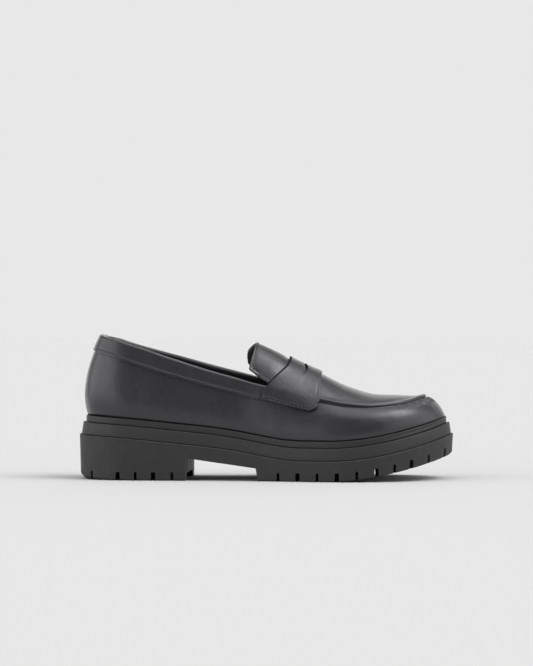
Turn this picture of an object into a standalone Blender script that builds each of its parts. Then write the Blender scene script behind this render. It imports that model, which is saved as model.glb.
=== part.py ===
"""A chunky lug sole penny loafer for the right foot, modelled as separate closed solids.

Lengths are in metres. +X points to the toe, -Y to the outer (lateral) side of the foot and +Z up.
The origin lies on the floor under the middle of the outsole.
"""

import math
from collections import namedtuple
from functools import lru_cache

import bmesh
import bpy
from mathutils import Vector

# Sole
OUTSOLE_LENGTH = 0.279
BALL_WIDTH = 0.103
HEEL_HEIGHT = 0.0335
FOREFOOT_THICKNESS = 0.015
TOE_SPRING = 0.019
TOE_SPRING_START = 0.673
BED_CURVE = 1.75
TREAD_CURVE = 1.6
HEEL_ROCKER = 0.0017
HEEL_ROCKER_RUN = 0.072
HEEL_LENGTH = 0.0816
HEEL_FRONT_SLANT = 0.022
ARCH_LENGTH = 0.052
ARCH_SLOPE = 0.0022
WAIST_THICKNESS = 0.0098
MIDSOLE_THICKNESS = 0.0092
MIDSOLE_SETBACK = 0.0016
MIDSOLE_LEAN = 0.0011
WELT_THICKNESS = 0.005
WELT_SETBACK = 0.005
EDGE_CHAMFER = 0.0006
OUTSOLE_LEAN = 0.0008
TREAD_ROUND = 0.0026

# Lugs
LUG_DEPTH = 0.0062
LUG_PITCH = 0.0146
LUG_RING_WIDTH = 0.013
NOTCH_NARROW = 0.0026
NOTCH_WIDE = 0.004
NOTCH_TOP_SHARE = 0.72
FIELD_DEPTH = 0.0052
FIELD_BAR = 0.010
STUD_ARM = 0.0085
STUD_ARM_WIDTH = 0.0055
CUTTER_REACH = 0.004

# Upper
WALL = 0.002
GAP = 0.0003
UPPER_LEDGE = 0.0047
COLLAR_RISE = 0.0595
BELLY = 0.0055
CROWN = 0.0248
THROAT_ROW = 7 + 1 / 3
SEAM_LIP = 0.0028
SEAM_LIP_PLACE = 0.0018
SEAM_LIP_WIDTH = 0.0036
SEAM_CREASE = 0.0006
SEAM_CREASE_PLACE = 0.0012
SEAM_CREASE_WIDTH = 0.0022

# Insole, tongue, strap and collar band
INSOLE_RISE = 0.001
INSOLE_CLEARANCE = 0.0006
TONGUE_THICKNESS = 0.0024
TONGUE_CLEARANCE = 0.0008
TONGUE_INSET = 0.006
TONGUE_BACK = 0.026
TONGUE_TAPER = 0.078
STRAP_THICKNESS = 0.0018
STRAP_DROP = 0.0111
SLOT_HALF_WIDTH = 0.018
SLOT_OPENING = 0.0024
SLOT_BULGE = 0.0032
SLOT_PLACE = 0.600
BAND_THICKNESS = 0.0012
BAND_WIDTH = 0.0138

# Mesh fineness, as steps for each row of the tables
SOLE_STEPS = 5
WELT_STEPS = 4
UPPER_STEPS = 3
WALL_ROWS = 6
APRON_COLUMNS = 8
NORMAL_STEP = 0.02
WALL_SAMPLES = 24
SEARCH_STEPS = 24

# The sole's outline, heel tip to toe tip. Along is a share of the outsole's length, lateral and medial
# are shares of the ball width, ledge is a share of UPPER_LEDGE and tread_round of TREAD_ROUND.
Section = namedtuple("Section", "along lateral medial ledge tread_round")
OUTLINE = (
    Section(0.0000, 0.024, 0.024, 0.21, 1.00),
    Section(0.0234, -0.199, 0.248, 0.25, 0.80),
    Section(0.0917, -0.311, 0.359, 0.28, 0.45),
    Section(0.1800, -0.342, 0.372, 0.28, 0.30),
    Section(0.2700, -0.348, 0.364, 0.28, 0.30),
    Section(0.3600, -0.352, 0.350, 0.28, 0.30),
    Section(0.4460, -0.371, 0.352, 0.28, 0.30),
    Section(0.5320, -0.415, 0.386, 0.28, 0.30),
    Section(0.6190, -0.466, 0.437, 0.28, 0.30),
    Section(0.7050, -0.500, 0.482, 0.28, 0.30),
    Section(0.7880, -0.489, 0.500, 0.31, 0.30),
    Section(0.8650, -0.419, 0.479, 0.34, 0.30),
    Section(0.9300, -0.301, 0.408, 0.36, 0.35),
    Section(0.9766, -0.134, 0.287, 0.28, 0.45),
    Section(1.0000, 0.083, 0.083, 0.20, 0.50),
)

# The top edge of the wall at the same rows: the collar first, then the seam of the apron.
# Rise is a share of COLLAR_RISE over the welt, inset a share of the ball width inside the outsole.
Topline = namedtuple("Topline", "rise_lateral rise_medial inset_lateral inset_medial")
TOPLINE = (
    Topline(1.000, 1.000, 0.160, 0.160),
    Topline(0.990, 0.992, 0.146, 0.146),
    Topline(0.957, 0.965, 0.121, 0.126),
    Topline(0.877, 0.888, 0.116, 0.116),
    Topline(0.779, 0.820, 0.111, 0.111),
    Topline(0.690, 0.748, 0.106, 0.092),
    Topline(0.637, 0.702, 0.108, 0.085),
    Topline(0.600, 0.661, 0.125, 0.101),
    Topline(0.514, 0.553, 0.160, 0.141),
    Topline(0.432, 0.452, 0.184, 0.170),
    Topline(0.363, 0.360, 0.189, 0.184),
    Topline(0.322, 0.316, 0.189, 0.194),
    Topline(0.283, 0.280, 0.194, 0.199),
    Topline(0.258, 0.260, 0.199, 0.199),
    Topline(0.241, 0.241, 0.201, 0.201),
)

# The side view of the wall at the same rows. Belly is how far its lower part swells out, a share of
# BELLY, belly_up the height of that swell. Shoulder and drop are shares of the run and the rise.
Profile = namedtuple("Profile", "belly belly_up shoulder drop")
PROFILE = (
    Profile(1.00, 0.27, 1.08, 0.360),
    Profile(0.91, 0.27, 1.06, 0.360),
    Profile(0.76, 0.27, 1.02, 0.350),
    Profile(0.65, 0.27, 0.95, 0.330),
    Profile(0.58, 0.27, 1.00, 0.320),
    Profile(0.55, 0.28, 1.00, 0.300),
    Profile(0.55, 0.30, 0.60, 0.217),
    Profile(0.51, 0.33, 0.60, 0.214),
    Profile(0.47, 0.38, 0.60, 0.295),
    Profile(0.44, 0.43, 0.64, 0.110),
    Profile(0.40, 0.47, 0.64, 0.030),
    Profile(0.36, 0.50, 0.63, -0.020),
    Profile(0.14, 0.44, 0.58, -0.010),
    Profile(-0.10, 0.34, 0.56, 0.000),
    Profile(-0.25, 0.28, 0.55, 0.000),
)

# The instep and apron over the top edges: crown is a share of CROWN, fullness the power of its arch.
Instep = namedtuple("Instep", "row crown fullness")
INSTEP = (
    Instep(5, 1.330, 2.00),
    Instep(6, 1.150, 2.00),
    Instep(7, 0.955, 2.00),
    Instep(8, 0.770, 2.05),
    Instep(9, 0.540, 2.15),
    Instep(10, 0.380, 2.30),
    Instep(11, 0.280, 2.40),
    Instep(12, 0.170, 2.50),
    Instep(13, 0.085, 2.60),
    Instep(14, 0.000, 2.60),
)

# The raised lip along the apron's seam, a share of SEAM_LIP, from the strap round to the toe.
Lip = namedtuple("Lip", "row share")
SEAM = (
    Lip(8.2, 0.00),
    Lip(9.0, 0.32),
    Lip(11.0, 0.34),
    Lip(12.3, 0.32),
    Lip(13.2, 0.34),
    Lip(14.0, 0.34),
)

# The collar band's width from the heel tip to the strap, as shares of BAND_WIDTH.
Band = namedtuple("Band", "row share")
BAND = (
    Band(0.0, 0.90),
    Band(1.5, 0.93),
    Band(3.0, 1.03),
    Band(4.2, 0.95),
    Band(5.5, 0.87),
    Band(7.4, 0.81),
)

# The tongue's back edge, from its lateral side (0) to its medial one (1), as shares of TONGUE_BACK.
TongueEdge = namedtuple("TongueEdge", "across reach")
TONGUE_EDGE = (
    TongueEdge(0.00, 1.19),
    TongueEdge(0.25, 1.05),
    TongueEdge(0.50, 1.00),
    TongueEdge(0.64, 1.04),
    TongueEdge(0.78, 1.18),
    TongueEdge(0.88, 1.29),
    TongueEdge(1.00, 1.27),
)

# How far the bed stays up between the heel (1) and the forefoot (0), over shares of the length.
BedStep = namedtuple("BedStep", "along share")
BED = (
    BedStep(0.000, 1.000),
    BedStep(0.130, 0.860),
    BedStep(0.260, 0.670),
    BedStep(0.350, 0.530),
    BedStep(0.420, 0.385),
    BedStep(0.495, 0.180),
    BedStep(0.550, 0.045),
    BedStep(0.600, 0.000),
    BedStep(1.000, 0.000),
)

# The strap's back and front edges, as shares of the outsole's length. Reach is the place across the
# foot: 0 on the ridge, 0.5 on the top edge of the wall and 1.5 at the strap's lower edge.
StrapEdge = namedtuple("StrapEdge", "reach back front")
STRAP = (
    StrapEdge(0.00, 0.5620, 0.6465),
    StrapEdge(0.15, 0.5612, 0.6468),
    StrapEdge(0.25, 0.5560, 0.6468),
    StrapEdge(0.35, 0.5405, 0.6462),
    StrapEdge(0.42, 0.5250, 0.6455),
    StrapEdge(0.50, 0.5075, 0.6448),
    StrapEdge(1.00, 0.4965, 0.6410),
    StrapEdge(1.16, 0.4940, 0.6390),
    StrapEdge(1.24, 0.4930, 0.6360),
    StrapEdge(1.50, 0.4895, 0.6205),
)

# Notches round the heel, as shares of the edge from the heel tip to the heel's front face.
HeelNotch = namedtuple("HeelNotch", "along width")
HEEL_NOTCHES = (
    HeelNotch(0.000, NOTCH_WIDE),
    HeelNotch(0.300, NOTCH_NARROW),
    HeelNotch(0.514, NOTCH_WIDE),
    HeelNotch(0.643, NOTCH_NARROW),
    HeelNotch(0.771, NOTCH_WIDE),
    HeelNotch(0.906, NOTCH_NARROW),
)

# Notches round the forefoot, in lug pitches along the edge from the toe tip, narrow and wide in turn.
FORE_NOTCHES = (0.35, 1.55, 3.0, 4.1, 5.05, 6.0, 7.0, 8.0, 9.0, 10.0, 11.0)

# Cross studs in the middle of the tread: shares of the outsole's length and of the ball width.
Stud = namedtuple("Stud", "along across")
STUDS = (
    Stud(0.095, 0.015),
    Stud(0.175, 0.015),
    Stud(0.255, 0.010),
    Stud(0.605, -0.185),
    Stud(0.605, 0.160),
    Stud(0.715, -0.200),
    Stud(0.715, 0.190),
    Stud(0.825, -0.150),
    Stud(0.825, 0.200),
    Stud(0.912, 0.050),
)

TOE_ROW = len(OUTLINE) - 1
RING = 2 * TOE_ROW

Finish = namedtuple("Finish", "colour roughness")
FINISHES = {
    "outsole_rubber": Finish((0.016, 0.016, 0.017), 0.62),
    "midsole_rubber": Finish((0.018, 0.018, 0.019), 0.55),
    "welt_rubber": Finish((0.015, 0.015, 0.016), 0.50),
    "upper_leather": Finish((0.012, 0.012, 0.013), 0.32),
    "strap_leather": Finish((0.012, 0.012, 0.013), 0.30),
    "tongue_leather": Finish((0.013, 0.013, 0.014), 0.34),
    "collar_leather": Finish((0.012, 0.012, 0.013), 0.33),
    "insole_leather": Finish((0.020, 0.019, 0.018), 0.60),
}


def ring_of(table, lateral, medial=None):
    """One or two columns as a closed ring: heel tip, lateral side, toe tip, medial side."""
    there = [getattr(row, lateral) for row in table]
    back = [getattr(row, medial or lateral) for row in reversed(table[1:-1])]
    return there + back


def read(ring, place):
    """A smooth value between the ring's entries, by a Catmull-Rom curve."""
    first = math.floor(place)
    part = place - first
    before, start, end, after = (ring[(first + step) % len(ring)] for step in (-1, 0, 1, 2))
    bend = 3 * (start - end) + after - before
    slope = 2 * before - 5 * start + 4 * end - after
    return start + 0.5 * part * (end - before + part * (slope + part * bend))


def along_table(table, key, column, where):
    """A smooth value between the rows of an open table, by cubic pieces."""
    keys = [getattr(row, key) for row in table]
    values = [getattr(row, column) for row in table]
    last = len(keys) - 1
    where = min(max(where, keys[0]), keys[last])
    piece = max(index for index in range(last) if keys[index] <= where)

    def slope(index):
        low = max(index - 1, 0)
        high = min(index + 1, last)
        return (values[high] - values[low]) / (keys[high] - keys[low])

    span = keys[piece + 1] - keys[piece]
    part = (where - keys[piece]) / span
    rest = 1 - part
    start = rest * rest * ((1 + 2 * part) * values[piece] + part * span * slope(piece))
    end = part * part * ((1 + 2 * rest) * values[piece + 1] - rest * span * slope(piece + 1))
    return start + end


ALONG = ring_of(OUTLINE, "along")
ACROSS = ring_of(OUTLINE, "lateral", "medial")
LEDGE = ring_of(OUTLINE, "ledge")
TREAD_EDGE = ring_of(OUTLINE, "tread_round")
RISE = ring_of(TOPLINE, "rise_lateral", "rise_medial")
INSET = ring_of(TOPLINE, "inset_lateral", "inset_medial")
BELLY_OUT = ring_of(PROFILE, "belly")
BELLY_UP = ring_of(PROFILE, "belly_up")
SHOULDER = ring_of(PROFILE, "shoulder")
DROP = ring_of(PROFILE, "drop")


def raw_outline(place):
    """A point of the outsole's outline, before it is centred."""
    x = (read(ALONG, place) - 0.5) * OUTSOLE_LENGTH
    return Vector((x, read(ACROSS, place) * BALL_WIDTH, 0.0))


OUTLINE_SIDES = [raw_outline(step / SOLE_STEPS).y for step in range(RING * SOLE_STEPS)]
MIDDLE = Vector((0.0, (min(OUTLINE_SIDES) + max(OUTLINE_SIDES)) / 2, 0.0))


@lru_cache(maxsize=None)
def outward(place):
    """The level direction that points out of the shoe at a place of the outline."""
    run = raw_outline(place + NORMAL_STEP) - raw_outline(place - NORMAL_STEP)
    return Vector((run.y, -run.x, 0.0)).normalized()


def outline(place, setback=0.0):
    """A point of the outline, set back into the shoe."""
    return raw_outline(place) - MIDDLE - outward(place) * setback


def share_along(x):
    return x / OUTSOLE_LENGTH + 0.5


def bed(x):
    """Height of the outsole's top, which carries the midsole."""
    along = share_along(x)
    heel = (HEEL_HEIGHT - FOREFOOT_THICKNESS) * along_table(BED, "along", "share", along)
    toe = max(along - TOE_SPRING_START, 0.0) / (1 - TOE_SPRING_START)
    return FOREFOOT_THICKNESS + heel + TOE_SPRING * toe ** BED_CURVE


def tread(x):
    """Height of the outsole's underside: flat, with a toe spring and a slight heel rocker."""
    along = share_along(x)
    toe = max(along - TOE_SPRING_START, 0.0) / (1 - TOE_SPRING_START)
    heel = max(HEEL_ROCKER_RUN - along, 0.0) / HEEL_ROCKER_RUN
    return TOE_SPRING * toe ** TREAD_CURVE + HEEL_ROCKER * heel * heel


def midsole_top(x):
    return bed(x) + MIDSOLE_THICKNESS


def welt_top(x):
    return midsole_top(x) + WELT_THICKNESS


def feather_setback(place):
    """How far inside the outsole's edge the upper meets the welt."""
    return WELT_SETBACK + UPPER_LEDGE * read(LEDGE, place)


def insole_setback(place):
    return feather_setback(place) + WALL + INSOLE_CLEARANCE


def blend_curve(handles, part):
    """A point of the cubic curve with these four handles."""
    rest = 1 - part
    weights = (rest ** 3, 3 * rest * rest * part, 3 * rest * part * part, part ** 3)
    out = sum(weight * handle[0] for weight, handle in zip(weights, handles))
    up = sum(weight * handle[1] for weight, handle in zip(weights, handles))
    return out, up


@lru_cache(maxsize=None)
def wall_curve(place):
    """The wall's side view at a place: its handles and the length run at each sample."""
    rise = COLLAR_RISE * read(RISE, place)
    run = BALL_WIDTH * read(INSET, place) - feather_setback(place)
    handles = (
        (0.0, 0.0),
        (BELLY * read(BELLY_OUT, place), rise * read(BELLY_UP, place)),
        (run * (read(SHOULDER, place) - 1), rise * (1 - read(DROP, place))),
        (-run, rise),
    )
    lengths = [0.0]
    last = handles[0]
    for sample in range(1, WALL_SAMPLES + 1):
        point = blend_curve(handles, sample / WALL_SAMPLES)
        lengths.append(lengths[-1] + math.hypot(point[0] - last[0], point[1] - last[1]))
        last = point
    return handles, lengths


def wall(place, length):
    """A point of the wall's outer face, a length up from the welt along the face."""
    handles, lengths = wall_curve(place)
    length = min(max(length, 0.0), lengths[-1])
    sample = max(index for index in range(WALL_SAMPLES) if lengths[index] <= length)
    part = (length - lengths[sample]) / (lengths[sample + 1] - lengths[sample])
    out, up = blend_curve(handles, (sample + part) / WALL_SAMPLES)
    foot = outline(place, feather_setback(place))
    level = Vector((0.0, 0.0, welt_top(foot.x) + GAP + up))
    return foot + outward(place) * out + level


def wall_height(place):
    return wall_curve(place)[1][-1]


def below_top(place, drop):
    """A point of the wall, a length down from its top edge along the face."""
    return wall(place, wall_height(place) - drop)


def instep(row, across):
    """A point over the foot between the top edges: 0 is the lateral edge, 1 the medial one."""
    lateral = below_top(row, 0.0)
    medial = below_top(RING - row, 0.0)
    fullness = along_table(INSTEP, "row", "fullness", row)
    arch = 1 - abs(2 * across - 1) ** fullness
    crown = CROWN * along_table(INSTEP, "row", "crown", row) * arch
    return lateral.lerp(medial, across) + Vector((0.0, 0.0, crown))


def skin(row, across, drop):
    """A point of the upper's outer face.

    Across runs from -1 to 0 up the lateral wall's last stretch, whose length is drop, from 0 to 1
    over the instep, and from 1 to 2 down the medial wall.
    """
    if across < 0:
        return below_top(row, -across * drop)
    if across > 1:
        return below_top(RING - row, (across - 1) * drop)
    return instep(row, across)


def row_at(x, across, drop):
    """The row whose skin point lies at this x."""
    low = 4.0
    high = 12.0
    for _ in range(SEARCH_STEPS):
        middle = (low + high) / 2
        if skin(middle, across, drop).x < x:
            low = middle
        else:
            high = middle
    return (low + high) / 2


def strap_edge(across, column):
    """The x of the strap's back or front edge at a place across the foot."""
    return (along_table(STRAP, "reach", column, abs(across - 0.5)) - 0.5) * OUTSOLE_LENGTH


def material(name):
    """A plain finish for one sub-part."""
    finish = FINISHES[name]
    result = bpy.data.materials.new(name)
    result.use_nodes = True
    shader = result.node_tree.nodes["Principled BSDF"]
    shader.inputs["Base Color"].default_value = (*finish.colour, 1.0)
    shader.inputs["Roughness"].default_value = finish.roughness
    shader.inputs["Metallic"].default_value = 0.0
    return result


def add_object(name, shape, collection, finish=None):
    """Make an object from a bmesh, put it in a collection and give it a finish."""
    mesh = bpy.data.meshes.new(name)
    shape.to_mesh(mesh)
    shape.free()
    result = bpy.data.objects.new(name, mesh)
    collection.objects.link(result)
    if finish:
        mesh.materials.append(material(finish))
        mesh.shade_smooth()
        mesh.set_sharp_from_angle(angle=math.radians(38))
    return result


def add_cutter(name, shape, collection):
    """Make a cutter, which is drawn as wires and never rendered."""
    result = add_object(name, shape, collection)
    result.hide_render = True
    result.display_type = "WIRE"
    return result


def cut(target, cutter):
    """Cut one object out of another."""
    modifier = target.modifiers.new("cut_" + cutter.name, "BOOLEAN")
    modifier.operation = "DIFFERENCE"
    modifier.solver = "EXACT"
    modifier.object = cutter


def thicken(target, thickness, offset):
    """Give an open surface its wall: offset 1 builds outwards, -1 inwards."""
    modifier = target.modifiers.new("wall", "SOLIDIFY")
    modifier.thickness = thickness
    modifier.offset = offset
    modifier.use_quality_normals = True


def facing(shape):
    """Turn an open surface so that its faces look away from the inside of the shoe."""
    inside = Vector((0.0, 0.0, welt_top(0.0)))
    bmesh.ops.recalc_face_normals(shape, faces=shape.faces)
    shape.faces.ensure_lookup_table()
    face = shape.faces[len(shape.faces) // 2]
    if face.normal.dot(face.calc_center_median() - inside) < 0:
        bmesh.ops.reverse_faces(shape, faces=shape.faces)
    shape.normal_update()


def rows_of(first, last, steps):
    """Rows from first to last, with a whole number of even steps."""
    count = max(round((last - first) * steps), 1)
    return [first + (last - first) * step / count for step in range(count + 1)]


def slab(rows, levels):
    """A closed slab between the sides of the shoe, made of rings from its underside to its top.

    Each level is a pair of functions: the setback at a place, and the height at an x.
    """
    shape = bmesh.new()
    tips = (rows[0] == 0, rows[-1] == TOE_ROW)
    lateral = list(rows)
    medial = [RING - row for row in reversed(rows)]
    if tips[1]:
        medial = medial[1:]
    if tips[0]:
        medial = medial[:-1]
    rings = []
    for setback, height in levels:
        points = [outline(place, setback(place)) for place in lateral + medial]
        rings.append([shape.verts.new((point.x, point.y, height(point.x))) for point in points])
    count = len(rings[0])
    for low, high in zip(rings, rings[1:]):
        for index in range(count):
            other = (index + 1) % count
            shape.faces.new((low[index], low[other], high[other], high[index]))
    shift = 0 if tips[0] else 1
    for ring in (rings[0], rings[-1]):
        pairs = [(ring[index], ring[-index - shift]) for index in range(len(lateral))]
        for near, far in zip(pairs, pairs[1:]):
            corners = [near[0], far[0], far[1], near[1]]
            shape.faces.new(dict.fromkeys(corners))
    bmesh.ops.recalc_face_normals(shape, faces=shape.faces)
    return shape


def notch_place(distance, start):
    """The place on the outline at an edge distance from a tip, towards the lateral side."""
    direction = 1 if start == 0 else -1
    step = direction / (SOLE_STEPS * 4)
    place = float(start)
    travelled = 0.0
    while travelled < distance:
        stretch = (outline(place + step) - outline(place)).length
        if travelled + stretch >= distance:
            return place + step * (distance - travelled) / stretch
        travelled += stretch
        place += step
    return place


def edge_run(start, x):
    """The length of the lateral edge from a tip to an x."""
    direction = 1 if start == 0 else -1
    step = direction / (SOLE_STEPS * 4)
    place = float(start)
    run = 0.0
    while (outline(place).x - x) * direction < 0:
        run += (outline(place + step) - outline(place)).length
        place += step
    return run


def add_notch(shape, place, width):
    """One tapered notch through the ring of lugs, narrower at its roof."""
    side = outward(place)
    along = Vector((-side.y, side.x, 0.0))
    middle = outline(place)
    corners = []
    for reach in (CUTTER_REACH, -LUG_RING_WIDTH - CUTTER_REACH / 2):
        for height, share in ((-CUTTER_REACH, 1.0), (LUG_DEPTH, NOTCH_TOP_SHARE)):
            for half in (-0.5, 0.5):
                point = middle + side * reach + along * (half * width * share)
                point.z = tread(middle.x + side.x * reach) + height
                corners.append(point)
    block = bmesh.ops.create_cube(shape, size=1.0)["verts"]
    order = [(vert.co.x < 0, vert.co.z > 0, vert.co.y > 0) for vert in block]
    for vert, (inner, top, far) in zip(block, order):
        vert.co = corners[4 * inner + 2 * top + far]


def notch_shape():
    """All notches: alternately narrow and wide along the forefoot, and the heel's own row."""
    shape = bmesh.new()
    run = edge_run(TOE_ROW, arch_front())
    notches = []
    for index, pitches in enumerate(FORE_NOTCHES):
        width = NOTCH_WIDE if index % 2 else NOTCH_NARROW
        if pitches * LUG_PITCH < run:
            notches.append((notch_place(pitches * LUG_PITCH, TOE_ROW), width))
    heel_run = edge_run(0, heel_front())
    for notch in HEEL_NOTCHES:
        notches.append((notch_place(notch.along * heel_run, 0), notch.width))
    for place, width in notches:
        add_notch(shape, place, width)
        if 0 < place < TOE_ROW:
            add_notch(shape, RING - place, width)
    bmesh.ops.recalc_face_normals(shape, faces=shape.faces)
    return shape


def heel_front():
    """The x of the heel's front face at the lateral edge."""
    return HEEL_LENGTH - OUTSOLE_LENGTH / 2


def arch_front():
    """The x where the forefoot's tread starts."""
    return heel_front() + ARCH_LENGTH


def arch_shape():
    """The gap under the arch, cut across the whole width between heel and forefoot."""
    corners = (
        (heel_front(), -CUTTER_REACH),
        (heel_front(), bed(heel_front()) - WAIST_THICKNESS),
        (arch_front(), bed(arch_front()) - WAIST_THICKNESS),
        (arch_front() + ARCH_SLOPE, -CUTTER_REACH),
    )
    edge = outline(outline_row(heel_front())).y
    shape = bmesh.new()
    verts = [shape.verts.new((x, -BALL_WIDTH, z)) for x, z in corners]
    face = shape.faces.new(verts)
    moved = bmesh.ops.extrude_face_region(shape, geom=[face])["geom"]
    far = [item for item in moved if isinstance(item, bmesh.types.BMVert)]
    bmesh.ops.translate(shape, verts=far, vec=(0.0, 2 * BALL_WIDTH, 0.0))
    for vert in shape.verts:
        if vert.co.x < heel_front() + GAP:
            vert.co.x += HEEL_FRONT_SLANT * (vert.co.y - edge)
    bmesh.ops.recalc_face_normals(shape, faces=shape.faces)
    return shape


def stud_shape():
    """Cross-shaped studs, as tall prisms that the hollow fields of the tread leave standing."""
    shape = bmesh.new()
    long = STUD_ARM
    half = STUD_ARM_WIDTH / 2
    quarter = ((long, -half), (long, half), (half, half))
    for stud in STUDS:
        x = (stud.along - 0.5) * OUTSOLE_LENGTH
        y = stud.across * BALL_WIDTH
        verts = []
        for turn in range(4):
            spin = math.pi / 2 * turn
            for out, side in quarter:
                across = out * math.cos(spin) - side * math.sin(spin)
                up = out * math.sin(spin) + side * math.cos(spin)
                verts.append(shape.verts.new((x + across, y + up, -HEEL_HEIGHT)))
        face = shape.faces.new(verts)
        moved = bmesh.ops.extrude_face_region(shape, geom=[face])["geom"]
        top = [item for item in moved if isinstance(item, bmesh.types.BMVert)]
        bmesh.ops.translate(shape, verts=top, vec=(0.0, 0.0, 3 * HEEL_HEIGHT))
    bmesh.ops.recalc_face_normals(shape, faces=shape.faces)
    return shape


def field_shape(first, last):
    """The hollow field of the tread inside the ring of lugs, between two rows."""
    def setback(place):
        return LUG_RING_WIDTH

    levels = (
        (setback, lambda x: tread(x) - CUTTER_REACH),
        (setback, lambda x: tread(x) + FIELD_DEPTH),
    )
    return slab(rows_of(first, last, UPPER_STEPS), levels)


def outline_row(x):
    """The row of the outline's tables at an x."""
    low = 0.0
    high = float(TOE_ROW)
    for _ in range(SEARCH_STEPS):
        middle = (low + high) / 2
        if raw_outline(middle).x < x:
            low = middle
        else:
            high = middle
    return (low + high) / 2


def make_outsole(parts, cutters):
    """The lugged outsole with its heel, arch, toe spring, lugs and hollow fields."""
    def tread_setback(place):
        return OUTSOLE_LEAN + TREAD_ROUND * read(TREAD_EDGE, place)

    def round_top(x):
        share = along_table(OUTLINE, "along", "tread_round", share_along(x))
        return tread(x) + TREAD_ROUND * share

    levels = (
        (tread_setback, tread),
        (lambda place: OUTSOLE_LEAN, round_top),
        (lambda place: 0.0, lambda x: bed(x) - EDGE_CHAMFER),
        (lambda place: EDGE_CHAMFER, bed),
    )
    shape = slab(rows_of(0, TOE_ROW, SOLE_STEPS), levels)
    outsole = add_object("outsole", shape, parts, "outsole_rubber")
    studs = add_cutter("stud_guide", stud_shape(), cutters)
    heel_field = field_shape(0, outline_row(heel_front() + FIELD_BAR))
    fore_field = field_shape(outline_row(arch_front() + FIELD_BAR), TOE_ROW)
    heel_cutter = add_cutter("heel_field_cutter", heel_field, cutters)
    fore_cutter = add_cutter("forefoot_field_cutter", fore_field, cutters)
    cut(heel_cutter, studs)
    cut(fore_cutter, studs)
    cut(outsole, add_cutter("arch_cutter", arch_shape(), cutters))
    cut(outsole, heel_cutter)
    cut(outsole, fore_cutter)
    cut(outsole, add_cutter("notch_cutter", notch_shape(), cutters))


def make_midsole(parts):
    """The plain middle layer, stepped in from the outsole and leaning in a little."""
    top_setback = MIDSOLE_SETBACK + MIDSOLE_LEAN
    levels = (
        (lambda place: MIDSOLE_SETBACK, lambda x: bed(x) + GAP),
        (lambda place: top_setback, lambda x: midsole_top(x) - EDGE_CHAMFER),
        (lambda place: top_setback + EDGE_CHAMFER, midsole_top),
    )
    shape = slab(rows_of(0, TOE_ROW, SOLE_STEPS), levels)
    add_object("midsole", shape, parts, "midsole_rubber")


def make_welt(parts):
    """The rim that carries the upper, as a ring with the insole inside it."""
    def inner(place):
        return insole_setback(place) - GAP

    profile = (
        (lambda place: WELT_SETBACK, lambda x: midsole_top(x) + GAP),
        (lambda place: WELT_SETBACK, lambda x: welt_top(x) - EDGE_CHAMFER),
        (lambda place: WELT_SETBACK + EDGE_CHAMFER, welt_top),
        (inner, welt_top),
        (inner, lambda x: midsole_top(x) + GAP),
    )
    shape = bmesh.new()
    places = [step / WELT_STEPS for step in range(RING * WELT_STEPS)]
    loops = []
    for setback, height in profile:
        points = [outline(place, setback(place)) for place in places]
        loops.append([shape.verts.new((point.x, point.y, height(point.x))) for point in points])
    for index, low in enumerate(loops):
        high = loops[(index + 1) % len(loops)]
        for step in range(len(places)):
            other = (step + 1) % len(places)
            shape.faces.new((low[step], low[other], high[other], high[step]))
    bmesh.ops.recalc_face_normals(shape, faces=shape.faces)
    add_object("welt", shape, parts, "welt_rubber")


def make_insole(parts):
    """The footbed inside the welt, a little higher than it."""
    levels = (
        (insole_setback, lambda x: midsole_top(x) + GAP),
        (insole_setback, lambda x: welt_top(x) + INSOLE_RISE),
    )
    shape = slab(rows_of(0, TOE_ROW, UPPER_STEPS), levels)
    add_object("insole", shape, parts, "insole_leather")


def bump(distance, width):
    """A smooth hump that is 1 in the middle and 0 at half its width on either side."""
    part = min(abs(distance) / (width / 2), 1.0)
    return (1 - part * part) ** 2


def seam_points():
    """Points along the apron's seam, round the toe, with the share of the lip's height at each."""
    points = []
    for row in rows_of(SEAM[0].row, TOE_ROW, 4 * UPPER_STEPS):
        share = along_table(SEAM, "row", "share", row)
        for place in (row, RING - row):
            points.append((below_top(place, 0.0), share))
    return points


def seam_relief(point, seam, on_apron):
    """How far the outer face stands out beside the apron's seam."""
    nearest, share = min(seam, key=lambda item: (item[0] - point).length_squared)
    distance = (nearest - point).length
    if on_apron:
        return share * SEAM_LIP * bump(distance - SEAM_LIP_PLACE, 2 * SEAM_LIP_WIDTH)
    return -share * SEAM_CREASE * bump(distance - SEAM_CREASE_PLACE, 2 * SEAM_CREASE_WIDTH)


def apron_shares(width):
    """Shares across the apron: two close to each edge for the seam's lip, and even ones between."""
    lip = min(SEAM_LIP_PLACE / width, 0.08)
    edge = min((SEAM_LIP_PLACE + SEAM_LIP_WIDTH) / width, 0.22)
    even = [edge + (1 - 2 * edge) * step / APRON_COLUMNS for step in range(APRON_COLUMNS + 1)]
    return [lip] + even + [1 - lip]


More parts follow.
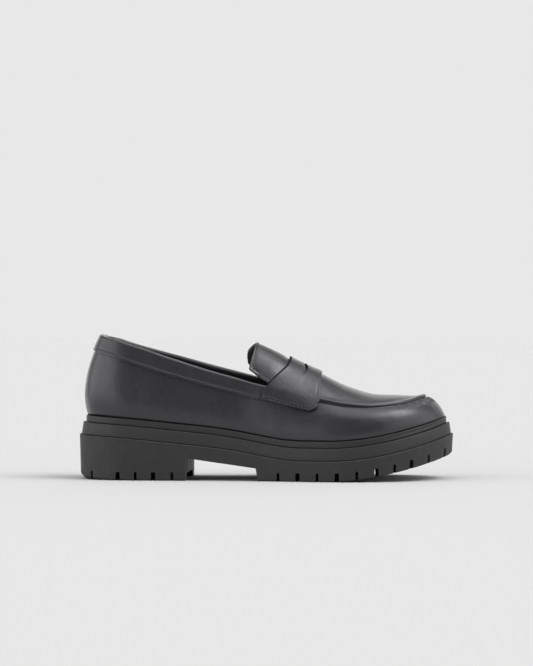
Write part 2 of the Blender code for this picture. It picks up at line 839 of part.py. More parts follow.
def make_upper(parts):
    """The vamp, quarters and apron as one hollow wall, open at the collar and underneath."""
    shape = bmesh.new()
    places = [step / UPPER_STEPS for step in range(RING * UPPER_STEPS)]
    seam_drops = (SEAM_CREASE_PLACE + SEAM_CREASE_WIDTH, SEAM_CREASE_PLACE, 0.0)
    columns = []
    for place in places:
        height = wall_height(place)
        low = height - seam_drops[0]
        lengths = [low * step / WALL_ROWS for step in range(WALL_ROWS)]
        lengths += [height - drop for drop in seam_drops]
        columns.append([shape.verts.new(wall(place, length)) for length in lengths])
    for index, column in enumerate(columns):
        other = columns[(index + 1) % len(columns)]
        for low in range(len(column) - 1):
            shape.faces.new((column[low], other[low], other[low + 1], column[low + 1]))
    apron = set()
    strips = []
    throat = round(THROAT_ROW * UPPER_STEPS)
    tip = TOE_ROW * UPPER_STEPS
    for step in range(throat, tip):
        row = step / UPPER_STEPS
        lateral = columns[step][-1]
        medial = columns[len(columns) - step][-1]
        width = (lateral.co - medial.co).length
        middle = [shape.verts.new(instep(row, share)) for share in apron_shares(width)]
        apron.update(middle)
        strips.append([lateral] + middle + [medial])
    for near, far in zip(strips, strips[1:]):
        for index in range(len(near) - 1):
            shape.faces.new((near[index], far[index], far[index + 1], near[index + 1]))
    for index in range(len(strips[-1]) - 1):
        shape.faces.new((strips[-1][index], columns[tip][-1], strips[-1][index + 1]))
    facing(shape)
    seam = seam_points()
    moves = [(vert, seam_relief(vert.co, seam, vert in apron)) for vert in shape.verts]
    for vert, amount in moves:
        vert.co += vert.normal * amount
    upper = add_object("upper", shape, parts, "upper_leather")
    thicken(upper, WALL, -1.0)


def grid(across_places, along_steps, point_at):
    """An open surface from a function of two places."""
    shape = bmesh.new()
    lines = []
    parts = [step / along_steps for step in range(along_steps + 1)]
    for across in across_places:
        lines.append([shape.verts.new(point_at(across, part)) for part in parts])
    for line, other in zip(lines, lines[1:]):
        for index in range(along_steps):
            shape.faces.new((line[index], other[index], other[index + 1], line[index + 1]))
    facing(shape)
    return shape


def lift(shape, distance):
    """Move a whole surface out along its normals."""
    shape.normal_update()
    moves = [(vert, vert.normal * distance) for vert in shape.verts]
    for vert, move in moves:
        vert.co += move


def strap_point(across, part):
    """A point under the strap: part runs from its back edge to its front edge."""
    back = strap_edge(across, "back")
    front = strap_edge(across, "front")
    x = back + (front - back) * part
    return skin(row_at(x, across, STRAP_DROP), across, STRAP_DROP)


def slot_shape():
    """The strap's curved slot, wider in the middle and bulging to the toe."""
    shape = bmesh.new()
    steps = 10
    place = (SLOT_PLACE - 0.5) * OUTSOLE_LENGTH
    middle = (below_top(8, 0.0).y + below_top(RING - 8, 0.0).y) / 2
    front = []
    back = []
    for step in range(steps + 1):
        side = 2 * step / steps - 1
        arc = 1 - side * side
        front.append((place + SLOT_BULGE * arc, side))
        if 0 < step < steps:
            back.append((place + (SLOT_BULGE - SLOT_OPENING) * arc, side))
    low = welt_top(0.0)
    verts = [shape.verts.new((x, middle + side * SLOT_HALF_WIDTH, low)) for x, side in front + back[::-1]]
    face = shape.faces.new(verts)
    moved = bmesh.ops.extrude_face_region(shape, geom=[face])["geom"]
    top = [item for item in moved if isinstance(item, bmesh.types.BMVert)]
    bmesh.ops.translate(shape, verts=top, vec=(0.0, 0.0, 2 * COLLAR_RISE))
    bmesh.ops.recalc_face_normals(shape, faces=shape.faces)
    return shape


def make_strap(parts, cutters):
    """The saddle strap over the instep, with its slot."""
    down = [-1, -0.87, -0.74, -0.66, -0.5, -0.25]
    over = [step / 18 for step in range(19)]
    across_places = down + over + [1 - place for place in reversed(down)]
    shape = grid(across_places, 8, strap_point)
    lift(shape, GAP)
    strap = add_object("saddle_strap", shape, parts, "strap_leather")
    thicken(strap, STRAP_THICKNESS, 1.0)
    cut(strap, add_cutter("slot_cutter", slot_shape(), cutters))


def tongue_point(across, part):
    """A point of the tongue's face: part runs from its back edge to the apron's edge."""
    throat = instep(THROAT_ROW, across).x - TONGUE_CLEARANCE
    back = throat - TONGUE_BACK * along_table(TONGUE_EDGE, "across", "reach", across)
    x = back + (throat - back) * part
    row = row_at(x, across, 0.0)
    narrow = TONGUE_INSET + TONGUE_TAPER * (1 - part) ** 2
    held = narrow + (1 - 2 * narrow) * across
    return instep(row, held)


def make_tongue(parts):
    """The tongue, which carries the apron's line back under the strap and stands up behind it."""
    across_places = [step / 14 for step in range(15)]
    shape = grid(across_places, 8, tongue_point)
    tongue = add_object("tongue", shape, parts, "tongue_leather")
    thicken(tongue, TONGUE_THICKNESS, -1.0)


def band_point(level, part):
    """A point under the collar band: level 0 is its lower edge and 1 the topline."""
    def drop(row):
        return BAND_WIDTH * along_table(BAND, "row", "share", row) * (1 - level)

    reach = level - 1
    x = strap_edge(reach, "back") - 2 * GAP
    lateral = row_at(x, -1e-6, 0.0)
    medial = row_at(x, 1 + 1e-6, 0.0)
    place = lateral + (-medial - lateral) * part
    return below_top(place % RING, drop(abs(place)))


def make_collar_band(parts):
    """The band round the topline, from one end of the strap to the other."""
    levels = [step / 3 for step in range(4)]
    shape = grid(levels, 44, band_point)
    lift(shape, GAP)
    band = add_object("collar_band", shape, parts, "collar_leather")
    thicken(band, BAND_THICKNESS, 1.0)


def make_collection(name):
    collection = bpy.data.collections.new(name)
    bpy.context.scene.collection.children.link(collection)
    return collection


def main():
    for old in list(bpy.data.objects):
        bpy.data.objects.remove(old)
    parts = make_collection("lug_sole_loafer")
    cutters = make_collection("cutters")
    make_outsole(parts, cutters)
    make_midsole(parts)
    make_welt(parts)
    make_insole(parts)
    make_upper(parts)
    make_tongue(parts)
    make_strap(parts, cutters)
    make_collar_band(parts)
    root = bpy.data.objects.new("loafer_root", None)
    parts.objects.link(root)
    for piece in parts.objects:
        if piece is not root:
            piece.parent = root


main()
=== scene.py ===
"""The looks of the chunky lug sole loafer, a right shoe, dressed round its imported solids.

Lengths are in metres. +X points to the toe, -Y to the outer (lateral) side of the foot and +Z up.
"""

import math
from bisect import bisect_right
from collections import namedtuple
from functools import lru_cache

import bmesh
import bpy
from mathutils import Matrix, Vector
from mathutils.kdtree import KDTree


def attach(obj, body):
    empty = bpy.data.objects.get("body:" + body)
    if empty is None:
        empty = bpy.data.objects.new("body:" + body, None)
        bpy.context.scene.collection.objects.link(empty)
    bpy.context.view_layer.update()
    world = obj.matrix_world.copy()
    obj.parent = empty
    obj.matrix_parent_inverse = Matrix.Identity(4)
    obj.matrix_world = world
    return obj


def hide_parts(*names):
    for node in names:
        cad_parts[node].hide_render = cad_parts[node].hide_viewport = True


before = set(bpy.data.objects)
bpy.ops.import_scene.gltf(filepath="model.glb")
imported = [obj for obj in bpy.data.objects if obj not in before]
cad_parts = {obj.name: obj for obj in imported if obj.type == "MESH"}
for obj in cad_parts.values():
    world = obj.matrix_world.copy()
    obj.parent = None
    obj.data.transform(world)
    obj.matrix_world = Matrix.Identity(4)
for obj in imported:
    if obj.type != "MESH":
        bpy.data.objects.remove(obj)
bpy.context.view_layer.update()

# Sole, as in the solids
OUTSOLE_LENGTH = 0.279
BALL_WIDTH = 0.103
HEEL_HEIGHT = 0.0335
FOREFOOT_THICKNESS = 0.015
TOE_SPRING = 0.019
TOE_SPRING_START = 0.673
BED_CURVE = 1.75
MIDSOLE_THICKNESS = 0.0092
MIDSOLE_SETBACK = 0.0016
MIDSOLE_LEAN = 0.0011
WELT_THICKNESS = 0.005
WELT_SETBACK = 0.005

# Upper, tongue, strap and collar band, as in the solids
WALL = 0.002
GAP = 0.0003
UPPER_LEDGE = 0.0047
COLLAR_RISE = 0.0595
BELLY = 0.0055
CROWN = 0.0248
THROAT_ROW = 7 + 1 / 3
INSOLE_RISE = 0.001
INSOLE_CLEARANCE = 0.0006
TONGUE_THICKNESS = 0.0024
TONGUE_CLEARANCE = 0.0008
TONGUE_INSET = 0.006
TONGUE_BACK = 0.026
TONGUE_TAPER = 0.078
STRAP_THICKNESS = 0.0018
STRAP_DROP = 0.0111
BAND_WIDTH = 0.0138

# The strap's slot. Its place is a share of the outsole's length, its taper a share of its half width,
# and the row is that of the wall beside it.
SLOT_HALF_WIDTH = 0.019
SLOT_OPENING = 0.0003
SLOT_BULGE = 0.0027
SLOT_PLACE = 0.600
SLOT_TAPER = 0.2
SLOT_ROW = 8

# Apron seam: the raised lip and the crease under it. LIP_LOW is the part of the lip that never fades.
SEAM_LIP = 0.0028
LIP_LOW = 0.0005
LIP_RISE = 0.0013
LIP_FALL = 0.0034
CREASE_DEPTH = 0.0015
CREASE_WIDTH = 0.0026
CREASE_PLACE = CREASE_WIDTH / 2.2

# The small puckers beside the seam. They set in at a row, over part of a row, and start a little way
# off the seam. Once in every PUCKER_BEAT puckers their height falls by twice PUCKER_SWING.
PUCKER_PITCH = 0.0021
PUCKER_DEPTH = 0.0005
PUCKER_REACH = 0.008
PUCKER_START = 10.6
PUCKER_ONSET = 0.8
PUCKER_OFFSET = 0.0008
PUCKER_SWING = 0.3
PUCKER_BEAT = 3.7

# Collar band: its rim, which fades out over part of a row before the throat, and its lower groove
BAND_THICKNESS = 0.001
BAND_EDGE = 0.0003
RIM_DROP = 0.0021
RIM_FADE_START = 0.4
RIM_FADE_END = 0.05
LINING_FOLD = 0.006
BAND_GROOVE_HEIGHT = 0.0023
BAND_GROOVE_DEPTH = 0.0004
BAND_GROOVE_WIDTH = 0.0014

# Edges of the sole's layers. The welt's groove has a share of its depth at the rear and deepens to all
# of it between two rows.
SOLE_EDGE = 0.0007
WELT_EDGE = 0.0006
WELT_GROOVE_DROP = 0.0021
WELT_GROOVE_DEPTH = 0.0004
WELT_GROOVE_REAR = 0.15
WELT_GROOVE_ROWS = (9.0, 12.0)

# Strap: its rounded edges, a narrow band of painted shade along its back edge that stands in for the
# shadow of the gap beside the tongue, and the low bead along its front. The bead's crest and spread are
# shares of its width, and it fades out between two places across the foot, as in STRAP.
STRAP_ROUND = 0.0008
EDGE_SHADE_WIDTH = 0.0014
BEAD_WIDTH = 0.0024
BEAD_HEIGHT = 0.00022
BEAD_CREST = 0.75
BEAD_SPREAD = 1.3
BEAD_FADE = (0.75, 0.95)

# Tongue: how far it stands up behind the strap, and its folded edge with a groove inside it. The groove
# is a share of the bead, and both fade by a share over a stretch of the way forwards.
LEATHER_EDGE = 0.00045
TONGUE_LIFT = 0.0009
TONGUE_LIFT_RUN = 0.006
TONGUE_BEAD = 0.0004
TONGUE_BEAD_WIDTH = 0.0018
TONGUE_GROOVE = 0.7
TONGUE_FADE = 0.85
TONGUE_FADE_RUN = (0.1, 0.3)

# Thread
STITCH_LENGTH = 0.0019
STITCH_PITCH = 0.0027
THREAD_RADIUS = 0.0003

# Points closer together than this are one, and edges with a wider turn are sharp
MERGE = 1e-6
SHARP_ANGLE = math.radians(50)

# Mesh fineness: steps for each row of the tables, and counts of rows and columns
WALL_STEPS = 12
TOE_STEPS = 48
TOE_START = 10.5
SEAM_ROWS = 12
SEAM_ROW_HEIGHT = 0.0003
PLAIN_ROWS = 24
APRON_COLUMNS = 44
SOLE_STEPS = 16
SEAM_STEPS = 60
CORNER_STEPS = 4
NORMAL_STEP = 0.02
WALL_SAMPLES = 24
SEARCH_STEPS = 5
FIRST_ROWS = (6.0, 9.0)
STRAP_BACK_ROWS = 18
STRAP_FRONT_ROWS = 12
STRAP_SIDE_COLUMNS = 25
STRAP_TOP_COLUMNS = 64
STRAP_EASE = 12
BEAD_ROWS = 6
BAND_COLUMNS = 260
STITCH_STEPS = 40

# The sole's outline, heel tip to toe tip. Along is a share of the outsole's length, lateral and medial
# are shares of the ball width and ledge is a share of UPPER_LEDGE.
Section = namedtuple("Section", "along lateral medial ledge")
OUTLINE = (
    Section(0.0000, 0.024, 0.024, 0.21),
    Section(0.0234, -0.199, 0.248, 0.25),
    Section(0.0917, -0.311, 0.359, 0.28),
    Section(0.1800, -0.342, 0.372, 0.28),
    Section(0.2700, -0.348, 0.364, 0.28),
    Section(0.3600, -0.352, 0.350, 0.28),
    Section(0.4460, -0.371, 0.352, 0.28),
    Section(0.5320, -0.415, 0.386, 0.28),
    Section(0.6190, -0.466, 0.437, 0.28),
    Section(0.7050, -0.500, 0.482, 0.28),
    Section(0.7880, -0.489, 0.500, 0.31),
    Section(0.8650, -0.419, 0.479, 0.34),
    Section(0.9300, -0.301, 0.408, 0.36),
    Section(0.9766, -0.134, 0.287, 0.28),
    Section(1.0000, 0.083, 0.083, 0.20),
)

# The top edge of the wall at the same rows: the collar first, then the seam of the apron.
# Rise is a share of COLLAR_RISE over the welt, inset a share of the ball width inside the outsole.
Topline = namedtuple("Topline", "rise_lateral rise_medial inset_lateral inset_medial")
TOPLINE = (
    Topline(1.000, 1.000, 0.160, 0.160),
    Topline(0.990, 0.992, 0.146, 0.146),
    Topline(0.957, 0.965, 0.121, 0.126),
    Topline(0.877, 0.888, 0.116, 0.116),
    Topline(0.779, 0.820, 0.111, 0.111),
    Topline(0.690, 0.748, 0.106, 0.092),
    Topline(0.637, 0.702, 0.108, 0.085),
    Topline(0.600, 0.661, 0.125, 0.101),
    Topline(0.514, 0.553, 0.160, 0.141),
    Topline(0.432, 0.452, 0.184, 0.170),
    Topline(0.363, 0.360, 0.189, 0.184),
    Topline(0.322, 0.316, 0.189, 0.194),
    Topline(0.283, 0.280, 0.194, 0.199),
    Topline(0.258, 0.260, 0.199, 0.199),
    Topline(0.241, 0.241, 0.201, 0.201),
)

# The side view of the wall at the same rows. Belly is how far its lower part swells out, a share of
# BELLY, belly_up the height of that swell. Shoulder and drop are shares of the run and the rise.
Profile = namedtuple("Profile", "belly belly_up shoulder drop")
PROFILE = (
    Profile(1.00, 0.27, 1.08, 0.360),
    Profile(0.91, 0.27, 1.06, 0.360),
    Profile(0.76, 0.27, 1.02, 0.350),
    Profile(0.65, 0.27, 0.95, 0.330),
    Profile(0.58, 0.27, 1.00, 0.320),
    Profile(0.55, 0.28, 1.00, 0.300),
    Profile(0.55, 0.30, 0.60, 0.217),
    Profile(0.51, 0.33, 0.60, 0.214),
    Profile(0.47, 0.38, 0.60, 0.295),
    Profile(0.44, 0.43, 0.64, 0.110),
    Profile(0.40, 0.47, 0.64, 0.030),
    Profile(0.36, 0.50, 0.63, -0.020),
    Profile(0.14, 0.44, 0.58, -0.010),
    Profile(-0.10, 0.34, 0.56, 0.000),
    Profile(-0.25, 0.28, 0.55, 0.000),
)

# The instep and apron over the top edges: crown is a share of CROWN, fullness the power of its arch.
Instep = namedtuple("Instep", "row crown fullness")
INSTEP = (
    Instep(5, 1.330, 2.00),
    Instep(6, 1.150, 2.00),
    Instep(7, 0.955, 2.00),
    Instep(8, 0.770, 2.05),
    Instep(9, 0.540, 2.15),
    Instep(10, 0.380, 2.30),
    Instep(11, 0.280, 2.40),
    Instep(12, 0.170, 2.50),
    Instep(13, 0.085, 2.60),
    Instep(14, 0.000, 2.60),
)

# The raised lip along the apron's seam, a share of SEAM_LIP, and the crease, a share of CREASE_DEPTH.
Lip = namedtuple("Lip", "row share crease")
SEAM = (
    Lip(7.3, 0.00, 0.30),
    Lip(8.2, 0.10, 1.00),
    Lip(9.0, 0.32, 1.00),
    Lip(11.0, 0.24, 0.80),
    Lip(12.3, 0.22, 0.80),
    Lip(13.2, 0.24, 0.70),
    Lip(14.0, 0.24, 0.70),
)

# The collar band's width from the heel tip to the strap, as shares of BAND_WIDTH.
Band = namedtuple("Band", "row share")
BAND = (
    Band(0.0, 0.90),
    Band(1.5, 0.93),
    Band(3.0, 1.03),
    Band(4.2, 0.95),
    Band(5.5, 0.87),
    Band(7.4, 0.81),
)

# The tongue's back edge, from its lateral side (0) to its medial one (1), as shares of TONGUE_BACK.
TongueEdge = namedtuple("TongueEdge", "across reach")
TONGUE_EDGE = (
    TongueEdge(0.00, 1.19),
    TongueEdge(0.25, 1.05),
    TongueEdge(0.50, 1.00),
    TongueEdge(0.64, 1.04),
    TongueEdge(0.78, 1.18),
    TongueEdge(0.88, 1.29),
    TongueEdge(1.00, 1.27),
)

# How far the bed stays up between the heel (1) and the forefoot (0), over shares of the length.
BedStep = namedtuple("BedStep", "along share")
BED = (
    BedStep(0.000, 1.000),
    BedStep(0.130, 0.860),
    BedStep(0.260, 0.670),
    BedStep(0.350, 0.530),
    BedStep(0.420, 0.385),
    BedStep(0.495, 0.180),
    BedStep(0.550, 0.045),
    BedStep(0.600, 0.000),
    BedStep(1.000, 0.000),
)

# The strap's back and front edges, as shares of the outsole's length. Reach is the place across the
# foot: 0 on the ridge, 0.5 on the top edge of the wall and 1.5 at the strap's lower edge.
StrapEdge = namedtuple("StrapEdge", "reach back front")
STRAP = (
    StrapEdge(0.00, 0.5620, 0.6465),
    StrapEdge(0.15, 0.5612, 0.6468),
    StrapEdge(0.25, 0.5560, 0.6468),
    StrapEdge(0.35, 0.5405, 0.6462),
    StrapEdge(0.42, 0.5250, 0.6455),
    StrapEdge(0.50, 0.5075, 0.6448),
    StrapEdge(1.00, 0.4965, 0.6410),
    StrapEdge(1.16, 0.4940, 0.6390),
    StrapEdge(1.24, 0.4930, 0.6360),
    StrapEdge(1.50, 0.4895, 0.6205),
)

# Soft troughs (depth over 0) and ridges (under 0) pressed into the leather. Each runs from one point
# of the side view to another; side is -1 on the outer half, 1 on the inner half and 0 on both.
Fold = namedtuple("Fold", "side x_start z_start x_end z_end width depth")
FOLDS = (
    Fold(0, -0.100, 0.070, -0.020, 0.056, 0.013, 0.0006),
    Fold(0, -0.020, 0.056, 0.030, 0.046, 0.009, 0.0004),
    Fold(-1, 0.044, 0.046, 0.060, 0.036, 0.006, 0.0004),
    Fold(1, 0.044, 0.046, 0.058, 0.038, 0.006, 0.0004),
    Fold(0, 0.052, 0.066, 0.058, 0.054, 0.005, 0.0003),
)

# The insole's upper side from its edge inwards: how far in, and how far under its highest part.
InsoleEdge = namedtuple("InsoleEdge", "inset dip")
INSOLE_EDGE = (
    InsoleEdge(0.0000, 0.00060),
    InsoleEdge(0.0003, 0.00020),
    InsoleEdge(0.0008, 0.00000),
    InsoleEdge(0.0040, 0.00000),
    InsoleEdge(0.0070, 0.00035),
    InsoleEdge(0.0120, 0.00070),
)

# Rows of stitches from one place of a surface to another. Each place is across the foot, then along:
# 0 at the back edge and 1 at the front one.
StitchRow = namedtuple("StitchRow", "start end")
STRAP_STITCHES = (
    StitchRow((-0.92, 0.040), (-0.92, 0.920)),
    StitchRow((-0.77, 0.040), (-0.77, 0.920)),
    StitchRow((1.92, 0.040), (1.92, 0.920)),
    StitchRow((1.77, 0.040), (1.77, 0.920)),
    StitchRow((-0.60, 0.045), (-0.95, 0.045)),
    StitchRow((1.60, 0.045), (1.95, 0.045)),
)
TONGUE_STITCHES = (
    StitchRow((0.06, 0.06), (0.94, 0.06)),
    StitchRow((0.04, 0.06), (0.04, 0.60)),
    StitchRow((0.96, 0.06), (0.96, 0.60)),
)

TOE_ROW = len(OUTLINE) - 1
RING = 2 * TOE_ROW
UP = Vector((0.0, 0.0, 1.0))


def ring_of(table, lateral, medial=None):
    """One or two columns as a closed ring: heel tip, lateral side, toe tip, medial side."""
    there = [getattr(row, lateral) for row in table]
    back = [getattr(row, medial or lateral) for row in reversed(table[1:-1])]
    return there + back


def read(ring, place):
    """A smooth value between the ring's entries, by a Catmull-Rom curve."""
    first = math.floor(place)
    part = place - first
    before, start, end, after = (ring[(first + step) % len(ring)] for step in (-1, 0, 1, 2))
    bend = 3 * (start - end) + after - before
    slope = 2 * before - 5 * start + 4 * end - after
    return start + 0.5 * part * (end - before + part * (slope + part * bend))


def along_table(table, key, column, where):
    """A smooth value between the rows of an open table, by cubic pieces."""
    keys = [getattr(row, key) for row in table]
    values = [getattr(row, column) for row in table]
    last = len(keys) - 1
    where = min(max(where, keys[0]), keys[last])
    piece = max(index for index in range(last) if keys[index] <= where)

    def slope(index):
        low = max(index - 1, 0)
        high = min(index + 1, last)
        return (values[high] - values[low]) / (keys[high] - keys[low])

    span = keys[piece + 1] - keys[piece]
    part = (where - keys[piece]) / span
    rest = 1 - part
    start = rest * rest * ((1 + 2 * part) * values[piece] + part * span * slope(piece))
    end = part * part * ((1 + 2 * rest) * values[piece + 1] - rest * span * slope(piece + 1))
    return start + end


ALONG = ring_of(OUTLINE, "along")
ACROSS = ring_of(OUTLINE, "lateral", "medial")
LEDGE = ring_of(OUTLINE, "ledge")
RISE = ring_of(TOPLINE, "rise_lateral", "rise_medial")
INSET = ring_of(TOPLINE, "inset_lateral", "inset_medial")
BELLY_OUT = ring_of(PROFILE, "belly")
BELLY_UP = ring_of(PROFILE, "belly_up")
SHOULDER = ring_of(PROFILE, "shoulder")
DROP = ring_of(PROFILE, "drop")


@lru_cache(maxsize=None)
def raw_outline(place):
    """A point of the outsole's outline, before it is centred."""
    x = (read(ALONG, place) - 0.5) * OUTSOLE_LENGTH
    return Vector((x, read(ACROSS, place) * BALL_WIDTH, 0.0))


OUTLINE_SIDES = [raw_outline(step / 5).y for step in range(RING * 5)]
MIDDLE = Vector((0.0, (min(OUTLINE_SIDES) + max(OUTLINE_SIDES)) / 2, 0.0))


@lru_cache(maxsize=None)
def outward(place):
    """The level direction that points out of the shoe at a place of the outline."""
    run = raw_outline(place + NORMAL_STEP) - raw_outline(place - NORMAL_STEP)
    return Vector((run.y, -run.x, 0.0)).normalized()


def outline(place, setback=0.0):
    """A point of the outline, set back into the shoe."""
    return raw_outline(place) - MIDDLE - outward(place) * setback


@lru_cache(maxsize=None)
def bed(x):
    """Height of the outsole's top, which carries the midsole."""
    along = x / OUTSOLE_LENGTH + 0.5
    heel = (HEEL_HEIGHT - FOREFOOT_THICKNESS) * along_table(BED, "along", "share", along)
    toe = max(along - TOE_SPRING_START, 0.0) / (1 - TOE_SPRING_START)
    return FOREFOOT_THICKNESS + heel + TOE_SPRING * toe ** BED_CURVE


def midsole_top(x):
    return bed(x) + MIDSOLE_THICKNESS


def welt_top(x):
    return midsole_top(x) + WELT_THICKNESS


def feather_setback(place):
    """How far inside the outsole's edge the upper meets the welt."""
    return WELT_SETBACK + UPPER_LEDGE * read(LEDGE, place)


def insole_setback(place):
    return feather_setback(place) + WALL + INSOLE_CLEARANCE


def blend_curve(handles, part):
    """A point of the cubic curve with these four handles."""
    rest = 1 - part
    weights = (rest ** 3, 3 * rest * rest * part, 3 * rest * part * part, part ** 3)
    out = sum(weight * handle[0] for weight, handle in zip(weights, handles))
    up = sum(weight * handle[1] for weight, handle in zip(weights, handles))
    return out, up


@lru_cache(maxsize=None)
def wall_curve(place):
    """The wall's side view at a place: its handles and the length run at each sample."""
    rise = COLLAR_RISE * read(RISE, place)
    run = BALL_WIDTH * read(INSET, place) - feather_setback(place)
    handles = (
        (0.0, 0.0),
        (BELLY * read(BELLY_OUT, place), rise * read(BELLY_UP, place)),
        (run * (read(SHOULDER, place) - 1), rise * (1 - read(DROP, place))),
        (-run, rise),
    )
    lengths = [0.0]
    last = handles[0]
    for sample in range(1, WALL_SAMPLES + 1):
        point = blend_curve(handles, sample / WALL_SAMPLES)
        lengths.append(lengths[-1] + math.hypot(point[0] - last[0], point[1] - last[1]))
        last = point
    return handles, lengths


def wall(place, length):
    """A point of the wall's outer face, a length up from the welt along the face."""
    handles, lengths = wall_curve(place)
    length = min(max(length, 0.0), lengths[-1])
    sample = min(bisect_right(lengths, length) - 1, WALL_SAMPLES - 1)
    part = (length - lengths[sample]) / (lengths[sample + 1] - lengths[sample])
    out, up = blend_curve(handles, (sample + part) / WALL_SAMPLES)
    foot = outline(place, feather_setback(place))
    return foot + outward(place) * out + UP * (welt_top(foot.x) + GAP + up)


def wall_height(place):
    return wall_curve(place)[1][-1]


def below_top(place, drop):
    """A point of the wall, a length down from its top edge along the face."""
    return wall(place, wall_height(place) - drop)


def instep(row, across):
    """A point over the foot between the top edges: 0 is the lateral edge, 1 the medial one."""
    lateral = below_top(row, 0.0)
    medial = below_top(RING - row, 0.0)
    fullness = along_table(INSTEP, "row", "fullness", row)
    arch = 1 - abs(2 * across - 1) ** fullness
    crown = CROWN * along_table(INSTEP, "row", "crown", row) * arch
    return lateral.lerp(medial, across) + UP * crown


def skin(row, across, drop):
    """A point of the upper's outer face.

    Across runs from -1 to 0 up the lateral wall's last stretch, whose length is drop, from 0 to 1
    over the instep, and from 1 to 2 down the medial wall.
    """
    if across < 0:
        return below_top(row, -across * drop)
    if across > 1:
        return below_top(RING - row, (across - 1) * drop)
    return instep(row, across)


def row_at(x, across, drop):
    """The row whose skin point lies at this x, closed in on by a straight line each time."""
    row, other = FIRST_ROWS
    miss = skin(row, across, drop).x - x
    for _ in range(SEARCH_STEPS):
        other_miss = skin(other, across, drop).x - x
        if abs(other_miss) < MERGE:
            break
        row, other, miss = other, other - other_miss * (other - row) / (other_miss - miss), other_miss
    return other


def strap_edge(across, column):
    """The x of the strap's back or front edge at a place across the foot."""
    return (along_table(STRAP, "reach", column, abs(across - 0.5)) - 0.5) * OUTSOLE_LENGTH


# Mesh tools


def rows_of(first, last, steps):
    """Rows from first to last, with a whole number of even steps."""
    count = max(round((last - first) * steps), 1)
    return [first + (last - first) * step / count for step in range(count + 1)]


def woven(columns, rows, point_at):
    """A surface of quads over two lists of places; point_at gives each of its points."""
    shape = bmesh.new()
    across = len(columns) - 1
    up = len(rows) - 1
    bmesh.ops.create_grid(shape, x_segments=across, y_segments=up, size=0.5)
    for vert in shape.verts:
        column = columns[round((vert.co.x + 0.5) * across)]
        row = rows[round((vert.co.y + 0.5) * up)]
        vert.co = point_at(column, row)
    return shape


def merged(shape):
    """Join the points that lie on each other."""
    bmesh.ops.remove_doubles(shape, verts=shape.verts, dist=MERGE)
    return shape


def facing_out(shape):
    """Turn an open surface so that its lateral faces look to the lateral side."""
    bmesh.ops.recalc_face_normals(shape, faces=shape.faces)
    side = min(shape.faces, key=lambda face: face.calc_center_median().y)
    if side.normal.y > 0:
        bmesh.ops.reverse_faces(shape, faces=shape.faces)
    shape.normal_update()
    return shape


def closed(shape):
    """Finish a closed solid: no double points, and faces that point outwards."""
    merged(shape)
    bmesh.ops.recalc_face_normals(shape, faces=shape.faces)
    return shape


def joined(shapes):
    """Several shapes as one, with their common points merged."""
    whole = bmesh.new()
    for shape in shapes:
        mesh = bpy.data.meshes.new("part")
        shape.to_mesh(mesh)
        shape.free()
        whole.from_mesh(mesh)
        bpy.data.meshes.remove(mesh)
    return merged(whole)


def lift_layer(shape, columns, rows, lift_at):
    """A layer that holds each point's own lift, from its column and row in a woven surface."""
    shape.verts.ensure_lookup_table()
    layer = shape.verts.layers.float.new("lift")
    width = len(columns)
    for index, vert in enumerate(shape.verts):
        vert[layer] = lift_at(columns[index % width], rows[index // width])
    return layer


def push(shape, amount_at, layer=None):
    """Move each point along its normal by amount_at's amount, plus its own lift in the layer."""
    shape.normal_update()
    moves = []
    for vert in shape.verts:
        own = 0.0 if layer is None else vert[layer]
        moves.append((vert, vert.normal * (own + amount_at(vert.co))))
    for vert, move in moves:
        vert.co += move
    return shape


def fold_depth(point):
    """How deep the soft troughs press the leather in at a point."""
    depth = 0.0
    for fold in FOLDS:
        if fold.side * point.y < 0:
            continue
        start = Vector((fold.x_start, fold.z_start))
        run = Vector((fold.x_end, fold.z_end)) - start
        here = Vector((point.x, point.z)) - start
        share = min(max(here.dot(run) / run.length_squared, 0.0), 1.0)
        distance = (here - run * share).length / fold.width
        depth += fold.depth * math.exp(-distance * distance)
    return depth


def runs_along(points):
    """The length run at each of the points."""
    runs = [0.0]
    for near, far in zip(points, points[1:]):
        runs.append(runs[-1] + (far - near).length)
    return runs


def smooth_step(value, low, high):
    """0 under low, 1 over high, and a soft rise between them."""
    share = min(max((value - low) / (high - low), 0.0), 1.0)
    return share * share * (3 - 2 * share)


def hump(distance, width):
    """A smooth hump that is 1 in the middle and 0 at half its width on either side."""
    part = min(abs(distance) / (width / 2), 1.0)
    return (1 - part * part) ** 2


def frame_at(point_at, column, row, step=0.01):
    """A surface point and its outward normal, from the points beside it."""
    point = point_at(column, row)
    along = point_at(column + step, row) - point_at(column - step, row)
    up = point_at(column, row + step) - point_at(column, row - step)
    normal = along.cross(up).normalized()
    inside = Vector((point.x, 0.0, welt_top(point.x)))
    if normal.dot(point - inside) < 0:
        normal.negate()
    return point, normal


def new_object(name, shape, materials):
    """An object in the scene, made from a shape and its materials."""
    mesh = bpy.data.meshes.new(name)
    shape.to_mesh(mesh)
    shape.free()
    for material in materials:
        mesh.materials.append(material)
    result = bpy.data.objects.new(name, mesh)
    bpy.context.collection.objects.link(result)
    return result


def piece(name, shape, materials, node=None):
    """An object of the shoe in the named materials: it rides on the body and stands for a node."""
    result = new_object(name, shape, [MATERIALS[material] for material in materials])
    result.data.shade_smooth()
    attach(result, "root")
    if node:
        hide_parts(node)
    return result


def thicken(target, thickness, offset, inner_material=0):
    """Give a surface its wall: offset 1 builds outwards, -1 inwards."""
    modifier = target.modifiers.new("wall", "SOLIDIFY")
    modifier.thickness = thickness
    modifier.offset = offset
    modifier.use_quality_normals = True
    modifier.material_offset = inner_material


def soften(target, width, segments=3):
    """Round the sharp edges."""
    modifier = target.modifiers.new("edge", "BEVEL")
    modifier.width = width
    modifier.segments = segments
    modifier.limit_method = "ANGLE"
    modifier.angle_limit = SHARP_ANGLE
    modifier.harden_normals = True


# Materials


